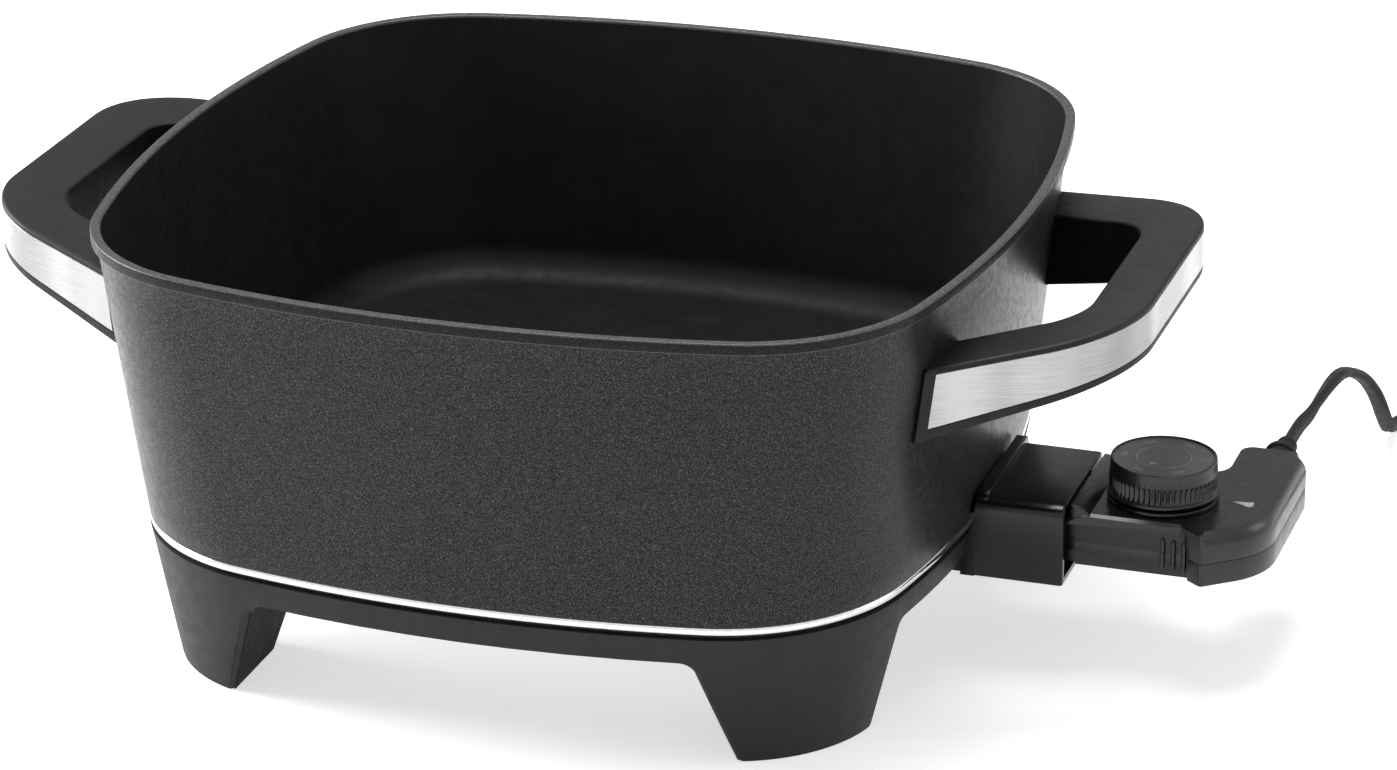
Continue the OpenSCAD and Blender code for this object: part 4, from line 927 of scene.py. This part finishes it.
def base():
    """Moulded skirt on four shell legs, with a deck inside and a pad behind the socket guard."""
    rings = [(0.35, 0), (0.08, 0.2)]
    rings += [(0, z) for z in (1.2, 8, 16, 24, 34, SKIRT_Z + 4.5, BASE_H - 0.5)]
    rings += [(0.12, BASE_H - 0.15), (0.45, BASE_H)]
    obj = loft("base", [base_ring(d, z) for d, z in rings])
    cut(obj, skirt_opening("front_opening", FRONT_GAP, FRONT_LEAN, FRONT_ROUND, "y"),
        skirt_opening("side_opening", SIDE_GAP, SIDE_LEAN, SIDE_ROUND, "x"))
    # The inside faces of the skirt, legs and deck take the painted-shade finish.
    cut(obj, in_zone(base_block("inside", BASE_WALL, [-1, 12, 25, 38, BASE_H + 1]), SHADED_ZONE))
    legs = cut(leg_zones("legs", 0), leg_zones("leg_insides", BASE_WALL))
    combined(legs, base_block("leg_block", BASE_WALL / 2, [0, 12, 25, 38, BASE_H]), "INTERSECT")
    deck = base_block("deck", BASE_WALL / 2, [SKIRT_Z, DECK_Z])
    cut(deck, prism("deck_opening", bowed_square(100, 52, 8, 16), SKIRT_Z - 1, DECK_Z + 1))
    half = GUARD_HALF - GUARD_WALL - SEAT
    pad = block("pad", (FOOT_HALF - 9, -half, GUARD_Z), (PAD_X + 0.45, half, BASE_H))
    for part in (in_zone(legs, SHADED_ZONE), in_zone(deck, SHADED_ZONE), pad):
        combined(obj, part, "UNION")
    hole_z, hole_l = SKIRT_Z - 1, 5
    tools = [block("inlet", (INLET_X, -INLET_HALF, DECK_Z),
                   (FOOT_HALF + 50, INLET_HALF, BASE_H + 1))]
    tools += [rod("hole", (sx * BASE_SCREW_AT, sy * BASE_SCREW_AT, hole_z), BASE_HOLE_R, hole_l)
              for sx, sy in CORNERS]
    tools += [rod("hole", (x, y, hole_z), SCREW_HOLE_R, hole_l) for x, y in SHIELD_SCREWS]
    tools += [rod("hole", (PAD_X - 8, sy * GUARD_SCREW_Y, GUARD_SCREW_Z), SCREW_HOLE_R, 9, "x")
              for sy in SIDES]
    softened(cut(obj, joined("holes", tools)), 0.5, weld=0.05)
    for face in obj.data.polygons:
        x, y, z = face.center / MM
        if x > FOOT_HALF + 0.05 and abs(y) < half + 0.1 and abs(face.normal.x) < 0.5:
            face.material_index = GLOSS_ZONE
    return piece(obj, "skillet", "base_plastic", "base", BASE_BLACK, GLOSS, BASE_SHADED)


# ---- handles

def handle_top_at(x):
    return HANDLE_TOP - TOP_SLOPE * (HANDLE_X - x)


def handle_under_at(x):
    return HANDLE_TOP - GRIP_H - UNDER_SLOPE * (HANDLE_X - x)


def band_under_at(x):
    return HANDLE_TOP - BAND_DROP - BAND_H - (UNDER_SLOPE - 0.02) * (HANDLE_X - x)


def handle_lines(steps=18):
    """Matching outer and inner outlines of half a handle, from the arm's root to its middle."""
    y, run = HANDLE_SPAN / 2, HANDLE_X - ARM_IN
    outer_root = (ARM_IN, -y - ARM_SPREAD * run)
    outer = corner_arc(outer_root, (HANDLE_X, -y), (HANDLE_X, y), HANDLE_CORNER_R, steps)
    x, y = HANDLE_X - GRIP_W - EDGE_SPARE, OPENING_HALF - EDGE_SPARE
    run = x - ARM_IN + 5
    inner_root = (x - run, -y - OPENING_SPREAD * run)
    inner = corner_arc(inner_root, (x, -y), (x, y), OPENING_R, steps)
    return [outer_root] + outer, [inner_root] + inner


def section_rings(marks):
    """Section of marks at the arm's root, and then at each step round the corner.

    A mark is (counted in from the outer line, distance in, height function, rise)."""
    rings = []
    for outer, inner in zip(*handle_lines()):
        outer, inner = Vector(outer), Vector(inner)
        way = (inner - outer).normalized()
        ring = []
        for from_outer, d, height, rise in marks:
            p = outer + way * d if from_outer else inner - way * d
            ring.append((p.x, p.y, height(p.x) + rise))
        rings.append(ring)
    return rings


def arm_rings(marks, gap, steps=7):
    """Rings from the pan's side, gap away from it, to the start of the corner."""
    ends = []
    for a, b in zip(*section_rings(marks)[:2]):
        a, b = Vector(a), Vector(b)
        low, high = 0.0, 1.0
        for _ in range(30):
            mid = (low + high) / 2
            p = a.lerp(b, mid)
            side_gap = hypot(p.x - BOW_C, p.y) - (wall_ring(p.z)[0] - BOW_C)
            low, high = (mid, high) if side_gap < gap else (low, mid)
        ends.append((a.lerp(b, low), b))
    return [[tuple(a.lerp(b, k / steps)) for a, b in ends] for k in range(steps)]


def half_loop(marks, gap):
    """Rings from gap away from the pan's side to the grip's middle."""
    return arm_rings(marks, gap) + section_rings(marks)[1:]


def whole_loop(name, half):
    """Loop from its half, from one arm's root to the other."""
    return loft(name, half + [[(x, -y, z) for x, y, z in ring] for ring in reversed(half)])


def handle_section(recess):
    """Section of the grip: rounded shoulders, and the band's recess in the outer side."""
    sole_r, outer_r, inner_r, under_r = 0.5, 1.6, 1.2, 2
    marks = [(True, d, handle_under_at, sole_r - up)
             for d, up in reversed(quarter_round(sole_r, 3))]
    marks += [(True, 0, band_under_at, 0), (True, recess, band_under_at, 0)]
    marks += [(True, recess, handle_top_at, -BAND_DROP), (True, 0, handle_top_at, -BAND_DROP)]
    marks += [(True, d, handle_top_at, up - outer_r) for d, up in quarter_round(outer_r, 5)]
    marks += [(outside, 7, handle_top_at, 0) for outside in (True, False)]
    marks += [(False, d, handle_top_at, up - inner_r)
              for d, up in reversed(quarter_round(inner_r, 6))]
    return marks + [(False, d, handle_under_at, under_r - up - INSIDE_DROP)
                    for d, up in quarter_round(under_r, 5)]


OPENING_WALL = range(9, 4, -1)   # faces of a handle's section in its opening, from the last one


def handle(side, tag):
    """Upswept loop handle: flat top, rounded shoulders, a recess for the band round its outside."""
    root_gap, recess_gap = 0.08, CLEAR + 4
    plain = handle_section(0)
    narrow = [(outside, d + ROOT_BEVEL if outside and d < 1 else d, height, rise)
              for outside, d, height, rise in plain]
    half = [arm_rings(narrow, root_gap)[0], arm_rings(plain, root_gap + ROOT_BEVEL)[0],
            arm_rings(plain, recess_gap - 0.02)[0]]
    half += half_loop(handle_section(BAND_T + SEAT), recess_gap)
    obj = whole_loop(tag + "_handle", half)
    n = len(plain)
    # The opening's walls take the second finish, painted shade.
    for face in obj.data.polygons[:(2 * len(half) - 1) * n]:
        if n - face.index % n in OPENING_WALL:
            face.material_index = 1
    low_z, high_z = LUG_Z - LUG_H / 2, LUG_Z + LUG_H / 2
    for sy in SIDES:
        y, screw_x = sy * LUG_Y, LUG_TIP - 5
        cut(obj,
            block("pocket", (ARM_IN, y - LUG_W / 2 - SEAT, low_z),
                  (LUG_TIP + SEAT, y + LUG_W / 2 + SEAT, high_z + SEAT)),
            rod("pit", (screw_x, y, 90), SCREW_PIT_R, low_z - 92),
            rod("shank_hole", (screw_x, y, 100), SHANK_HOLE_R, LUG_Z - 101))
    return piece(flipped(obj, side), "skillet", "handle_plastic", tag + "_handle",
                 HANDLE_BLACK, HANDLE_SHADED, crease=30)


def band(side, tag):
    """Brushed strip let into the handle's outer side."""
    edge = 0.3
    marks = [(True, d, band_under_at, SEAT + up) for d, up in ((BAND_T, 0), (edge, 0), (0, edge))]
    marks += [(True, d, handle_top_at, -BAND_DROP - SEAT - down)
              for d, down in ((0, edge), (edge, 0), (BAND_T, 0))]
    obj = whole_loop(tag + "_handle_band", half_loop(marks, CLEAR + 4 + SEAT))
    return piece(flipped(obj, side), "skillet", "band_steel", tag + "_handle_band", BAND_STEEL,
                 crease=30)


# ---- inlet

def guard_ring(d, x):
    outline = rounded(box_corners(-GUARD_HALF, GUARD_HALF, GUARD_Z, GUARD_TOP),
                      [0.8, 0.8, 2.2, 4.5], d, 8)
    return [(x, y, max(z, GUARD_Z)) for y, z in outline]


def guard_collar():
    """Raised strip across the guard's top, against the pan."""
    length, out = 4.4, 2
    mid_y, mid_z = out / 2 + 0.75, GUARD_TOP - 1
    outline = rounded(box_corners(1.5 - GUARD_HALF, GUARD_HALF + out, GUARD_TOP - 4,
                                  GUARD_TOP + out), [0.3, 0.3, 2.5, 4.5], 0, 6)
    edge = [(0.5, 0), (0.12, 0.12), (0, 0.5)]
    rings = []
    for d, x in edge + [(d, length - x) for d, x in reversed(edge)]:
        rings.append([(PAD_X + x, y - d * (1 if y > mid_y else -1),
                       z - d * (1 if z > mid_z else -1)) for y, z in outline])
    return loft("collar", rings)


def guard_cheek(sy):
    """Side of the guard carried on along the base's pad to the pan's wall."""
    high, root = GUARD_TOP - 5.5, wall_ring(BASE_H)[0] - 1.4
    outline = [(PAD_X, GUARD_Z), (PAD_X, high), (root + 1.6, high), (root + 1, FOOT_Z + 0.6),
               (root + 0.2, BASE_H), (root - 1.8, GUARD_Z)]
    low, far = sorted((sy * GUARD_HALF, sy * (GUARD_HALF - GUARD_WALL)))
    return prism("cheek", outline, low, far, "y")


def socket_guard():
    """Glossy open-ended box, carried on to the pan at its sides and with a collar on its top."""
    rings = [guard_ring(0, x) for x in (PAD_X, PAD_X + 8, GUARD_END - 8, GUARD_END - 1)]
    rings += [guard_ring(d, GUARD_END - back) for d, back in (
        (0.1, 0.5), (0.35, 0.15), (0.75, 0), (GUARD_WALL - 0.3, 0), (GUARD_WALL - 0.08, 0.1),
        (GUARD_WALL, 0.4))]
    obj = loft("socket_guard", rings + [guard_ring(GUARD_WALL, PAD_X + GUARD_BACK)])
    tools = []
    for y, z, r in ((-PIN_Y, AXIS_Z, GUARD_PIN_R), (-GUARD_SCREW_Y, GUARD_SCREW_Z, SCREW_HOLE_R),
                    (PIN_Y, AXIS_Z, GUARD_PIN_R), (GUARD_SCREW_Y, GUARD_SCREW_Z, SCREW_HOLE_R),
                    (0, AXIS_Z, GUARD_PROBE_R)):
        tools.append(rod("hole", (PAD_X - 1, y, z), r, GUARD_BACK + 2, "x"))
    cut(obj, joined("holes", tools))
    obj = joined("socket_guard", [obj, guard_collar(), guard_cheek(-1), guard_cheek(1)])
    return piece(obj, "skillet", "gloss_black", "socket_guard", GLOSS, crease=30)


# ---- controller

CASE_CORNERS = [
    (NECK_X, -CASE_HALF), (DIAL_X + 13, -CASE_HALF), (DIAL_X + 21, -CASE_HALF - 6),
    (TAIL_OUT, 11 - CASE_HALF), (TAIL_OUT, TAIL_L), (TAIL_IN, TAIL_L),
    (TAIL_IN, CASE_HALF + 1.5), (GUARD_END + 1.2, CASE_HALF + 8), (GUARD_END + 1.2, CASE_HALF),
    (NECK_X, CASE_HALF),
]
CASE_ROUNDS = [2, 4, 2, 28, 6, 5, 9, 2, 0.5, 2]
TOP_IN, TOP_DROP = 3.3, 6.2      # rounding of the tail's outer side at the top
TOP_SWEEP, TOP_STEPS = radians(56), 8
CHAMFER_IN, CHAMFER_DROP = 1.6, 0.85
SCOOP_END = DIAL_X + 15.6        # right-hand end of the thumb scoop
SCOOP_TOP = CASE_TOP - 4.2
SCOOP_DEPTH = 1.1
RIB_AT = (DIAL_X + 5.6, DIAL_X + 9.5, DIAL_X + 13.4)
RIB_SECTION = [(-0.95, 0.4), (-0.874, -0.35), (-0.57, -0.8), (0, -0.95), (0.57, -0.8),
               (0.874, -0.35), (0.95, 0.4)]


def case_outline(d):
    return rounded(CASE_CORNERS, CASE_ROUNDS, d, 14)


def case_ring(d, z):
    return at_height(case_outline(d), z)


def shoulder_ring(k):
    """Ring k of the case's top edge: a part of a rounding, or of the neck's flat chamfer.

    The rounding is full on the tail's outer side, and a tenth of that elsewhere."""
    outline, deep = case_outline(0), case_outline(TOP_IN)
    way, a = k / TOP_STEPS, TOP_SWEEP * k / TOP_STEPS
    inset, drop = (1 - cos(a)) / (1 - cos(TOP_SWEEP)), 1 - sin(a) / sin(TOP_SWEEP)
    ring = []
    for i, ((x, y), (u, v)) in enumerate(zip(outline, deep)):
        (x0, y0), (x1, y1) = outline[i - 1], outline[(i + 1) % len(outline)]
        outward = unit((y1 - y0, x0 - x1))[0]
        share = 0.1 + 0.9 * (smooth_step((outward - 0.2) / 0.4)
                             * smooth_step((x - DIAL_X - 20) / 1.5))
        if y < 0.2 - CASE_HALF and x < DIAL_X + 12:
            ring.append((x, y + CHAMFER_IN * way, CASE_TOP - CHAMFER_DROP * (1 - way)))
        else:
            ring.append((x + (u - x) * inset * share, y + (v - y) * inset * share,
                         CASE_TOP - TOP_DROP * drop * share))
    return ring


def case_cavity():
    return loft("cavity", [case_ring(CASE_WALL, z)
                           for z in (CASE_Z + CASE_WALL, CASE_TOP - CASE_WALL)])


def case_holes():
    tools = [rod("hole", (NECK_X - 1, y, AXIS_Z), r, CASE_WALL + 2, "x")
             for y, r in ((0, PROBE_HOLE_R), (-PIN_Y, PIN_HOLE_R), (PIN_Y, PIN_HOLE_R))]
    tools.append(rod("hole", (GLAND_X, TAIL_L - CASE_WALL - 1, GLAND_Z), GLAND_HOLE_R,
                     CASE_WALL + 2, "y"))
    return joined("case_holes", tools)


def thumb_scoop():
    """Cutter of the shallow scoop in the front, round-cornered at its upper right."""
    corners = [(NECK_X - 3, CASE_Z - 3), (SCOOP_END, CASE_Z - 3), (SCOOP_END - 0.6, SCOOP_TOP + 1),
               (NECK_X - 3, SCOOP_TOP - 1.2)]
    outline = rounded(corners, [0.3, 0.3, 6.5, 0.3], 0, 12)
    return prism("scoop", outline, -CASE_HALF - 9, SCOOP_DEPTH - CASE_HALF, "y")


def neck_bevel(sy):
    """Wedge cut off the neck's top corner, out to the shoulder."""
    near, side, over = sy * NECK_HALF, sy * (CASE_HALF + 0.5), CASE_TOP + 1
    points = []
    for x in (NECK_X - 1, SHOULDER_X - SHOULDER_L):
        points += [(x, near, CASE_TOP - 0.01), (x, side, CASE_TOP - 4), (x, side, over),
                   (x, near, over)]
    return hull("neck_bevel", points + [(SHOULDER_X, side, CASE_TOP), (SHOULDER_X, side, over)])


def neck_ramp():
    """Ramp that carries the case's top up to the level of the socket guard's."""
    ridge = GUARD_END + 1.3
    end = ridge + 7.2
    near, far, top = -CASE_HALF + 0.3, CASE_HALF + 3.5, GUARD_TOP - 0.2
    points = []
    for x, z in ((ridge, top), (ridge + 2.5, top - 0.3), (ridge + 5, top - 1.2),
                 (end, CASE_TOP - 0.05)):
        rise = (z - CASE_TOP) / (top - CASE_TOP)
        points += [(x, near + 0.8 * rise, z), (x, far - 1.2, z), (x, far, z - 1.2)]
    points += [(x, y, CASE_TOP - 5) for x in (ridge, end) for y in (near, far)]
    return hull("neck_ramp", points)


def grip_ribs(upper):
    """The part of the three upright ribs in the scoop that one shell carries."""
    ribs, steps = [], 6
    for k, x in enumerate(RIB_AT):
        low, high = CASE_Z + 2.2 - 0.3 * k, SEAM_Z - 0.05
        if upper:
            low, high = SEAM_Z + 0.05, SCOOP_TOP - 1.6 - 0.35 * k
        rings = []
        for j in range(steps + 1):
            t = j / steps
            shrink = 0.35 + 0.65 * smooth_step(5 * (1 - t if upper else t))
            rings.append([(x + u * shrink, SCOOP_DEPTH - CASE_HALF + (v if v > 0 else v * shrink),
                           low + (high - low) * t) for u, v in RIB_SECTION])
        ribs.append(loft("rib", rings))
    return ribs


def upper_shell():
    """Top half of the case: crisp-edged top, bulging side, neck bevels, scoop and ribs."""
    rings = [case_ring(d, SEAM_Z + up) for d, up in ((0.3, 0), (0.08, 0.12), (0, 0.35))]
    obj = loft("controller_upper_shell", rings + [shoulder_ring(k) for k in range(TOP_STEPS + 1)])
    shaft = rod("shaft_hole", (DIAL_X, 0, CASE_TOP - CASE_WALL - 1), SHAFT_HOLE_R, CASE_WALL + 2)
    lens = prism("lens_hole", lens_outline(SEAT), CASE_TOP - CASE_WALL - 1.6, CASE_TOP + 2)
    cut(obj, case_cavity(), case_holes(), neck_bevel(-1), neck_bevel(1),
        joined("top_holes", [shaft, lens]), thumb_scoop())
    softened(obj, 0.25, weld=0.03)
    ramp = softened(cut(neck_ramp(), case_cavity()), 0.25, angle=20)
    obj = joined("controller_upper_shell", [obj, ramp] + grip_ribs(True))
    return crisp_tops(piece(obj, "controller", "gloss_black", "controller_upper_shell",
                            CASE_BLACK, crease=26))


def lower_shell():
    """Bottom half of the case, with the neck's raised underside and the screws' recesses."""
    foot = 0.7
    rings = [case_ring(d, CASE_Z + foot - up) for d, up in reversed(quarter_round(foot, 4))]
    rings += [case_ring(d, SEAM_Z - down) for d, down in ((0, 0.3), (0.07, 0.1), (0.25, 0))]
    obj = loft("controller_lower_shell", rings)
    step = block("neck_step", (NECK_X - 3, -CASE_HALF - 3, CASE_Z - 3),
                 (SHOULDER_X - 4, CASE_HALF + 3, CASE_Z + 1))
    pits = [rod("pit", (x, y, CASE_Z - 1), CASE_PIT_R, CASE_PIT_H) for x, y in (
        (NECK_X + 40, 7 - CASE_HALF), (NECK_X + 40, CASE_HALF - 7), (TAIL_OUT - 6.4, TAIL_L - 20))]
    cut(obj, case_cavity(), case_holes(), step, joined("pits", pits), thumb_scoop())
    softened(obj, 0.3, weld=0.03)
    obj = joined("controller_lower_shell", [obj] + grip_ribs(False))
    return piece(obj, "controller", "gloss_black", "controller_lower_shell", CASE_BLACK,
                 crease=26)


def lens_outline(d):
    points = [(-3.9, 0.9), (2.6, -2.3), (3.7, -1.2), (3.7, 1.7), (2.9, 2.1)]
    return moved_in([(LENS_X + x, LENS_Y + y) for x, y in points], -d)


def indicator_lens():
    """Pointer-shaped window with a softly domed top."""
    low, top = CASE_TOP - CASE_WALL - 0.6, CASE_TOP + 0.3
    rings = [at_height(lens_outline(d), z)
             for d, z in ((0, low), (0, top - 0.25), (-0.1, top - 0.07), (-0.28, top))]
    return piece(loft("indicator_lens", rings), "controller", "lens", "indicator_lens", LENS,
                 crease=50)


# ---- dial

def dial_collar():
    profile = [(DIAL_R + d, z) for d, z in (
        (0.3, 0), (0.75, 0.15), (0.9, 0.55), (0.9, 1.5), (0.75, 1.85), (0.3, 2.05), (-0.5, 2.7))]
    obj = lathe("dial_collar", [(5, 0)] + profile + [(5, 2.7)], 128)
    return piece(moved(obj, (DIAL_X, 0, CASE_TOP)), "controller", "gloss_black", "dial_collar",
                 GLOSS, crease=28)


def ridged(depth):
    """Shape of a ring with the knurl's ridges on it."""
    return lambda r, a: r + 0.15 - depth * (0.5 - 0.5 * cos(a * DIAL_RIDGES)) ** 0.8


def dial_knob():
    """Knurled skirt, smooth band above it, raised rim and a shallow face."""
    height = DIAL_TOP - DIAL_Z
    low, high, ridge_steps = 1.9, height - 5.2, 6
    foot = [(0.3, 0.05), (0.8, 0.2), (0.9, 0.55), (0.9, 1.0), (0.7, 1.35), (0.2, 1.5), (0.1, 1.7)]
    rim = [(0.05, high + 0.35), (-0.05, height - 1.2), (-0.1, height - 0.4),
           (-0.2, height - 0.12), (-0.4, height), (-1.0, height), (-1.15, height - 0.1),
           (-1.2, height - 0.3), (-1.25, height - 0.55), (-3, height - FACE_SINK)]
    n = DIAL_RIDGES * 10
    rings = [(0.3, 0.05, None)] + [(DIAL_R + d, z, None) for d, z in foot]
    for k in range(ridge_steps + 1):
        depth = 0.75 if 0 < k < ridge_steps else 0.12
        rings.append((DIAL_R + 0.1, low + (high - low) * k / ridge_steps, ridged(depth)))
    rings += [(DIAL_R + d, z, None) for d, z in rim]
    rings.append((0.3, height - FACE_SINK, None))
    obj = loft("dial_knob", [at_height(circle(r, n, shape), z) for r, z, shape in rings])
    face_from = (len(rings) - 3) * n
    in_zone(obj, 1, slice(face_from, face_from + 2 * n))
    obj.data.polygons[len(obj.data.polygons) - 1].material_index = 1
    return piece(moved(obj, (DIAL_X, 0, DIAL_Z)), "dial", "dial_black", "dial_knob",
                 DIAL_BLACK, DIAL_FACE, crease=36)


def number(text, size, radius, angle):
    """Digits laid flat on the dial, their tops towards the rim."""
    curve = bpy.data.curves.new("digits", "FONT")
    curve.body = text
    curve.size, curve.extrude = size * MM, 0.03 * MM
    curve.align_x = curve.align_y = "CENTER"
    obj = linked("digits", curve)
    mesh = finished_mesh(obj)
    bpy.data.objects.remove(obj)
    a = radians(angle)
    return moved(linked("digits", mesh), (radius * cos(a), radius * sin(a), 0),
                 Matrix.Rotation(a - pi / 2, 4, "Z"))


def dial_marks():
    """Ring line, pointer and plain numbers on the dial's face."""
    line = [at_height(circle(r, 128), z)
            for r, z in ((9.75, -0.02), (10.05, -0.02), (10.05, 0.03), (9.75, 0.03))]
    tip = radians(POINTER_AT)
    pointer = [(cos(tip) * along - sin(tip) * across, sin(tip) * along + cos(tip) * across)
               for along, across in ((9.0, 0), (6.4, 1.6), (6.4, -1.6))]
    parts = [loft("ring_line", line, closed=True), prism("pointer", pointer, -0.02, 0.04)]
    for k, text in enumerate(DIGITS):
        parts.append(number(text, DIGIT_SIZE, DIGIT_R, 4 + 60 * k))
    obj = moved(joined("dial_marks", parts), (DIAL_X, 0, DIAL_TOP - FACE_SINK + 0.03))
    return piece(obj, "dial", "dial_black", "", MARKS)


# ---- studio

def seen_directly(tree, strength):
    """Strength for camera, glossy and transmission rays, and none for the rest."""
    path = tree.nodes.new("ShaderNodeLightPath").outputs
    total = path["Is Camera Ray"]
    for name in ("Is Glossy Ray", "Is Transmission Ray"):
        total = sum_of(tree, total, path[name], "MAXIMUM")
    return sum_of(tree, total, strength, "MULTIPLY")


def backdrop(name, points, color, glow=0.0):
    """Flat sheet of the studio. One with a glow, which only the camera and reflections see, is
    clear to the camera from behind, and one without it from both sides."""
    obj = new_object(name, points, [tuple(range(len(points)))])
    material, tree = material_tree(name)
    tree.nodes.remove(tree.nodes["Principled BSDF"])
    diffuse = added(tree, "BsdfDiffuse", {"Color": (color, color, color, 1)})
    light = added(tree, "Emission", {"Strength": seen_directly(tree, glow)})
    behind = added(tree, "NewGeometry", {}, "Backfacing") if glow else 1
    hidden = sum_of(tree, added(tree, "LightPath", {}, "Is Camera Ray"), behind, "MULTIPLY")
    shader = added(tree, "MixShader", {
        0: hidden, 1: added(tree, "AddShader", {0: diffuse, 1: light}),
        2: added(tree, "BsdfTransparent", {})})
    feed(tree, tree.nodes["Material Output"].inputs["Surface"], shader)
    obj.data.materials.append(material)


def softbox(name, at, size, power):
    light = bpy.data.lights.new(name, "AREA")
    light.shape = "SQUARE"
    light.size = size
    light.energy = power
    lamp = linked(name, light)
    lamp.location = at
    aim = Vector(at) - Vector((0, 0, 0.08))
    lamp.rotation_euler = aim.to_track_quat("Z", "Y").to_euler()


def studio():
    """White floor, a grey card behind the object, soft light all round and three softboxes."""
    reach = 4000
    backdrop("floor", at_height(box_corners(-reach, reach, -reach, reach), 0), 0.88, 0.6)
    backdrop("grey_card", [(-2600, 2000, 250), (1500, 2000, 250), (1500, 2300, 2600),
                           (-2600, 2300, 2600)], 0.5)
    world = bpy.data.worlds.new("studio")
    bpy.context.scene.world = world
    world.use_nodes = True
    tree = world.node_tree
    background = tree.nodes["Background"].inputs
    background["Color"].default_value = (1, 1, 1, 1)
    plain = 0.34
    feed(tree, background["Strength"], sum_of(tree, seen_directly(tree, 1 - plain), plain))
    softbox("left_softbox", (-1.55, -0.1, 0.7), 0.8, 32)
    softbox("top_softbox", (-0.1, 0.2, 1.9), 1, 28)
    softbox("right_softbox", (1.55, 0.55, 0.75), 0.6, 3)
    bpy.context.scene.view_settings.view_transform = "Standard"


# ---- assembly

dress_cad_nodes()
pan()
trim_ring()
base()
for side, tag in ((1, "right"), (-1, "left")):
    handle(side, tag)
    band(side, tag)
for make in (socket_guard, upper_shell, lower_shell, indicator_lens, dial_collar, dial_knob,
             dial_marks, studio):
    make()
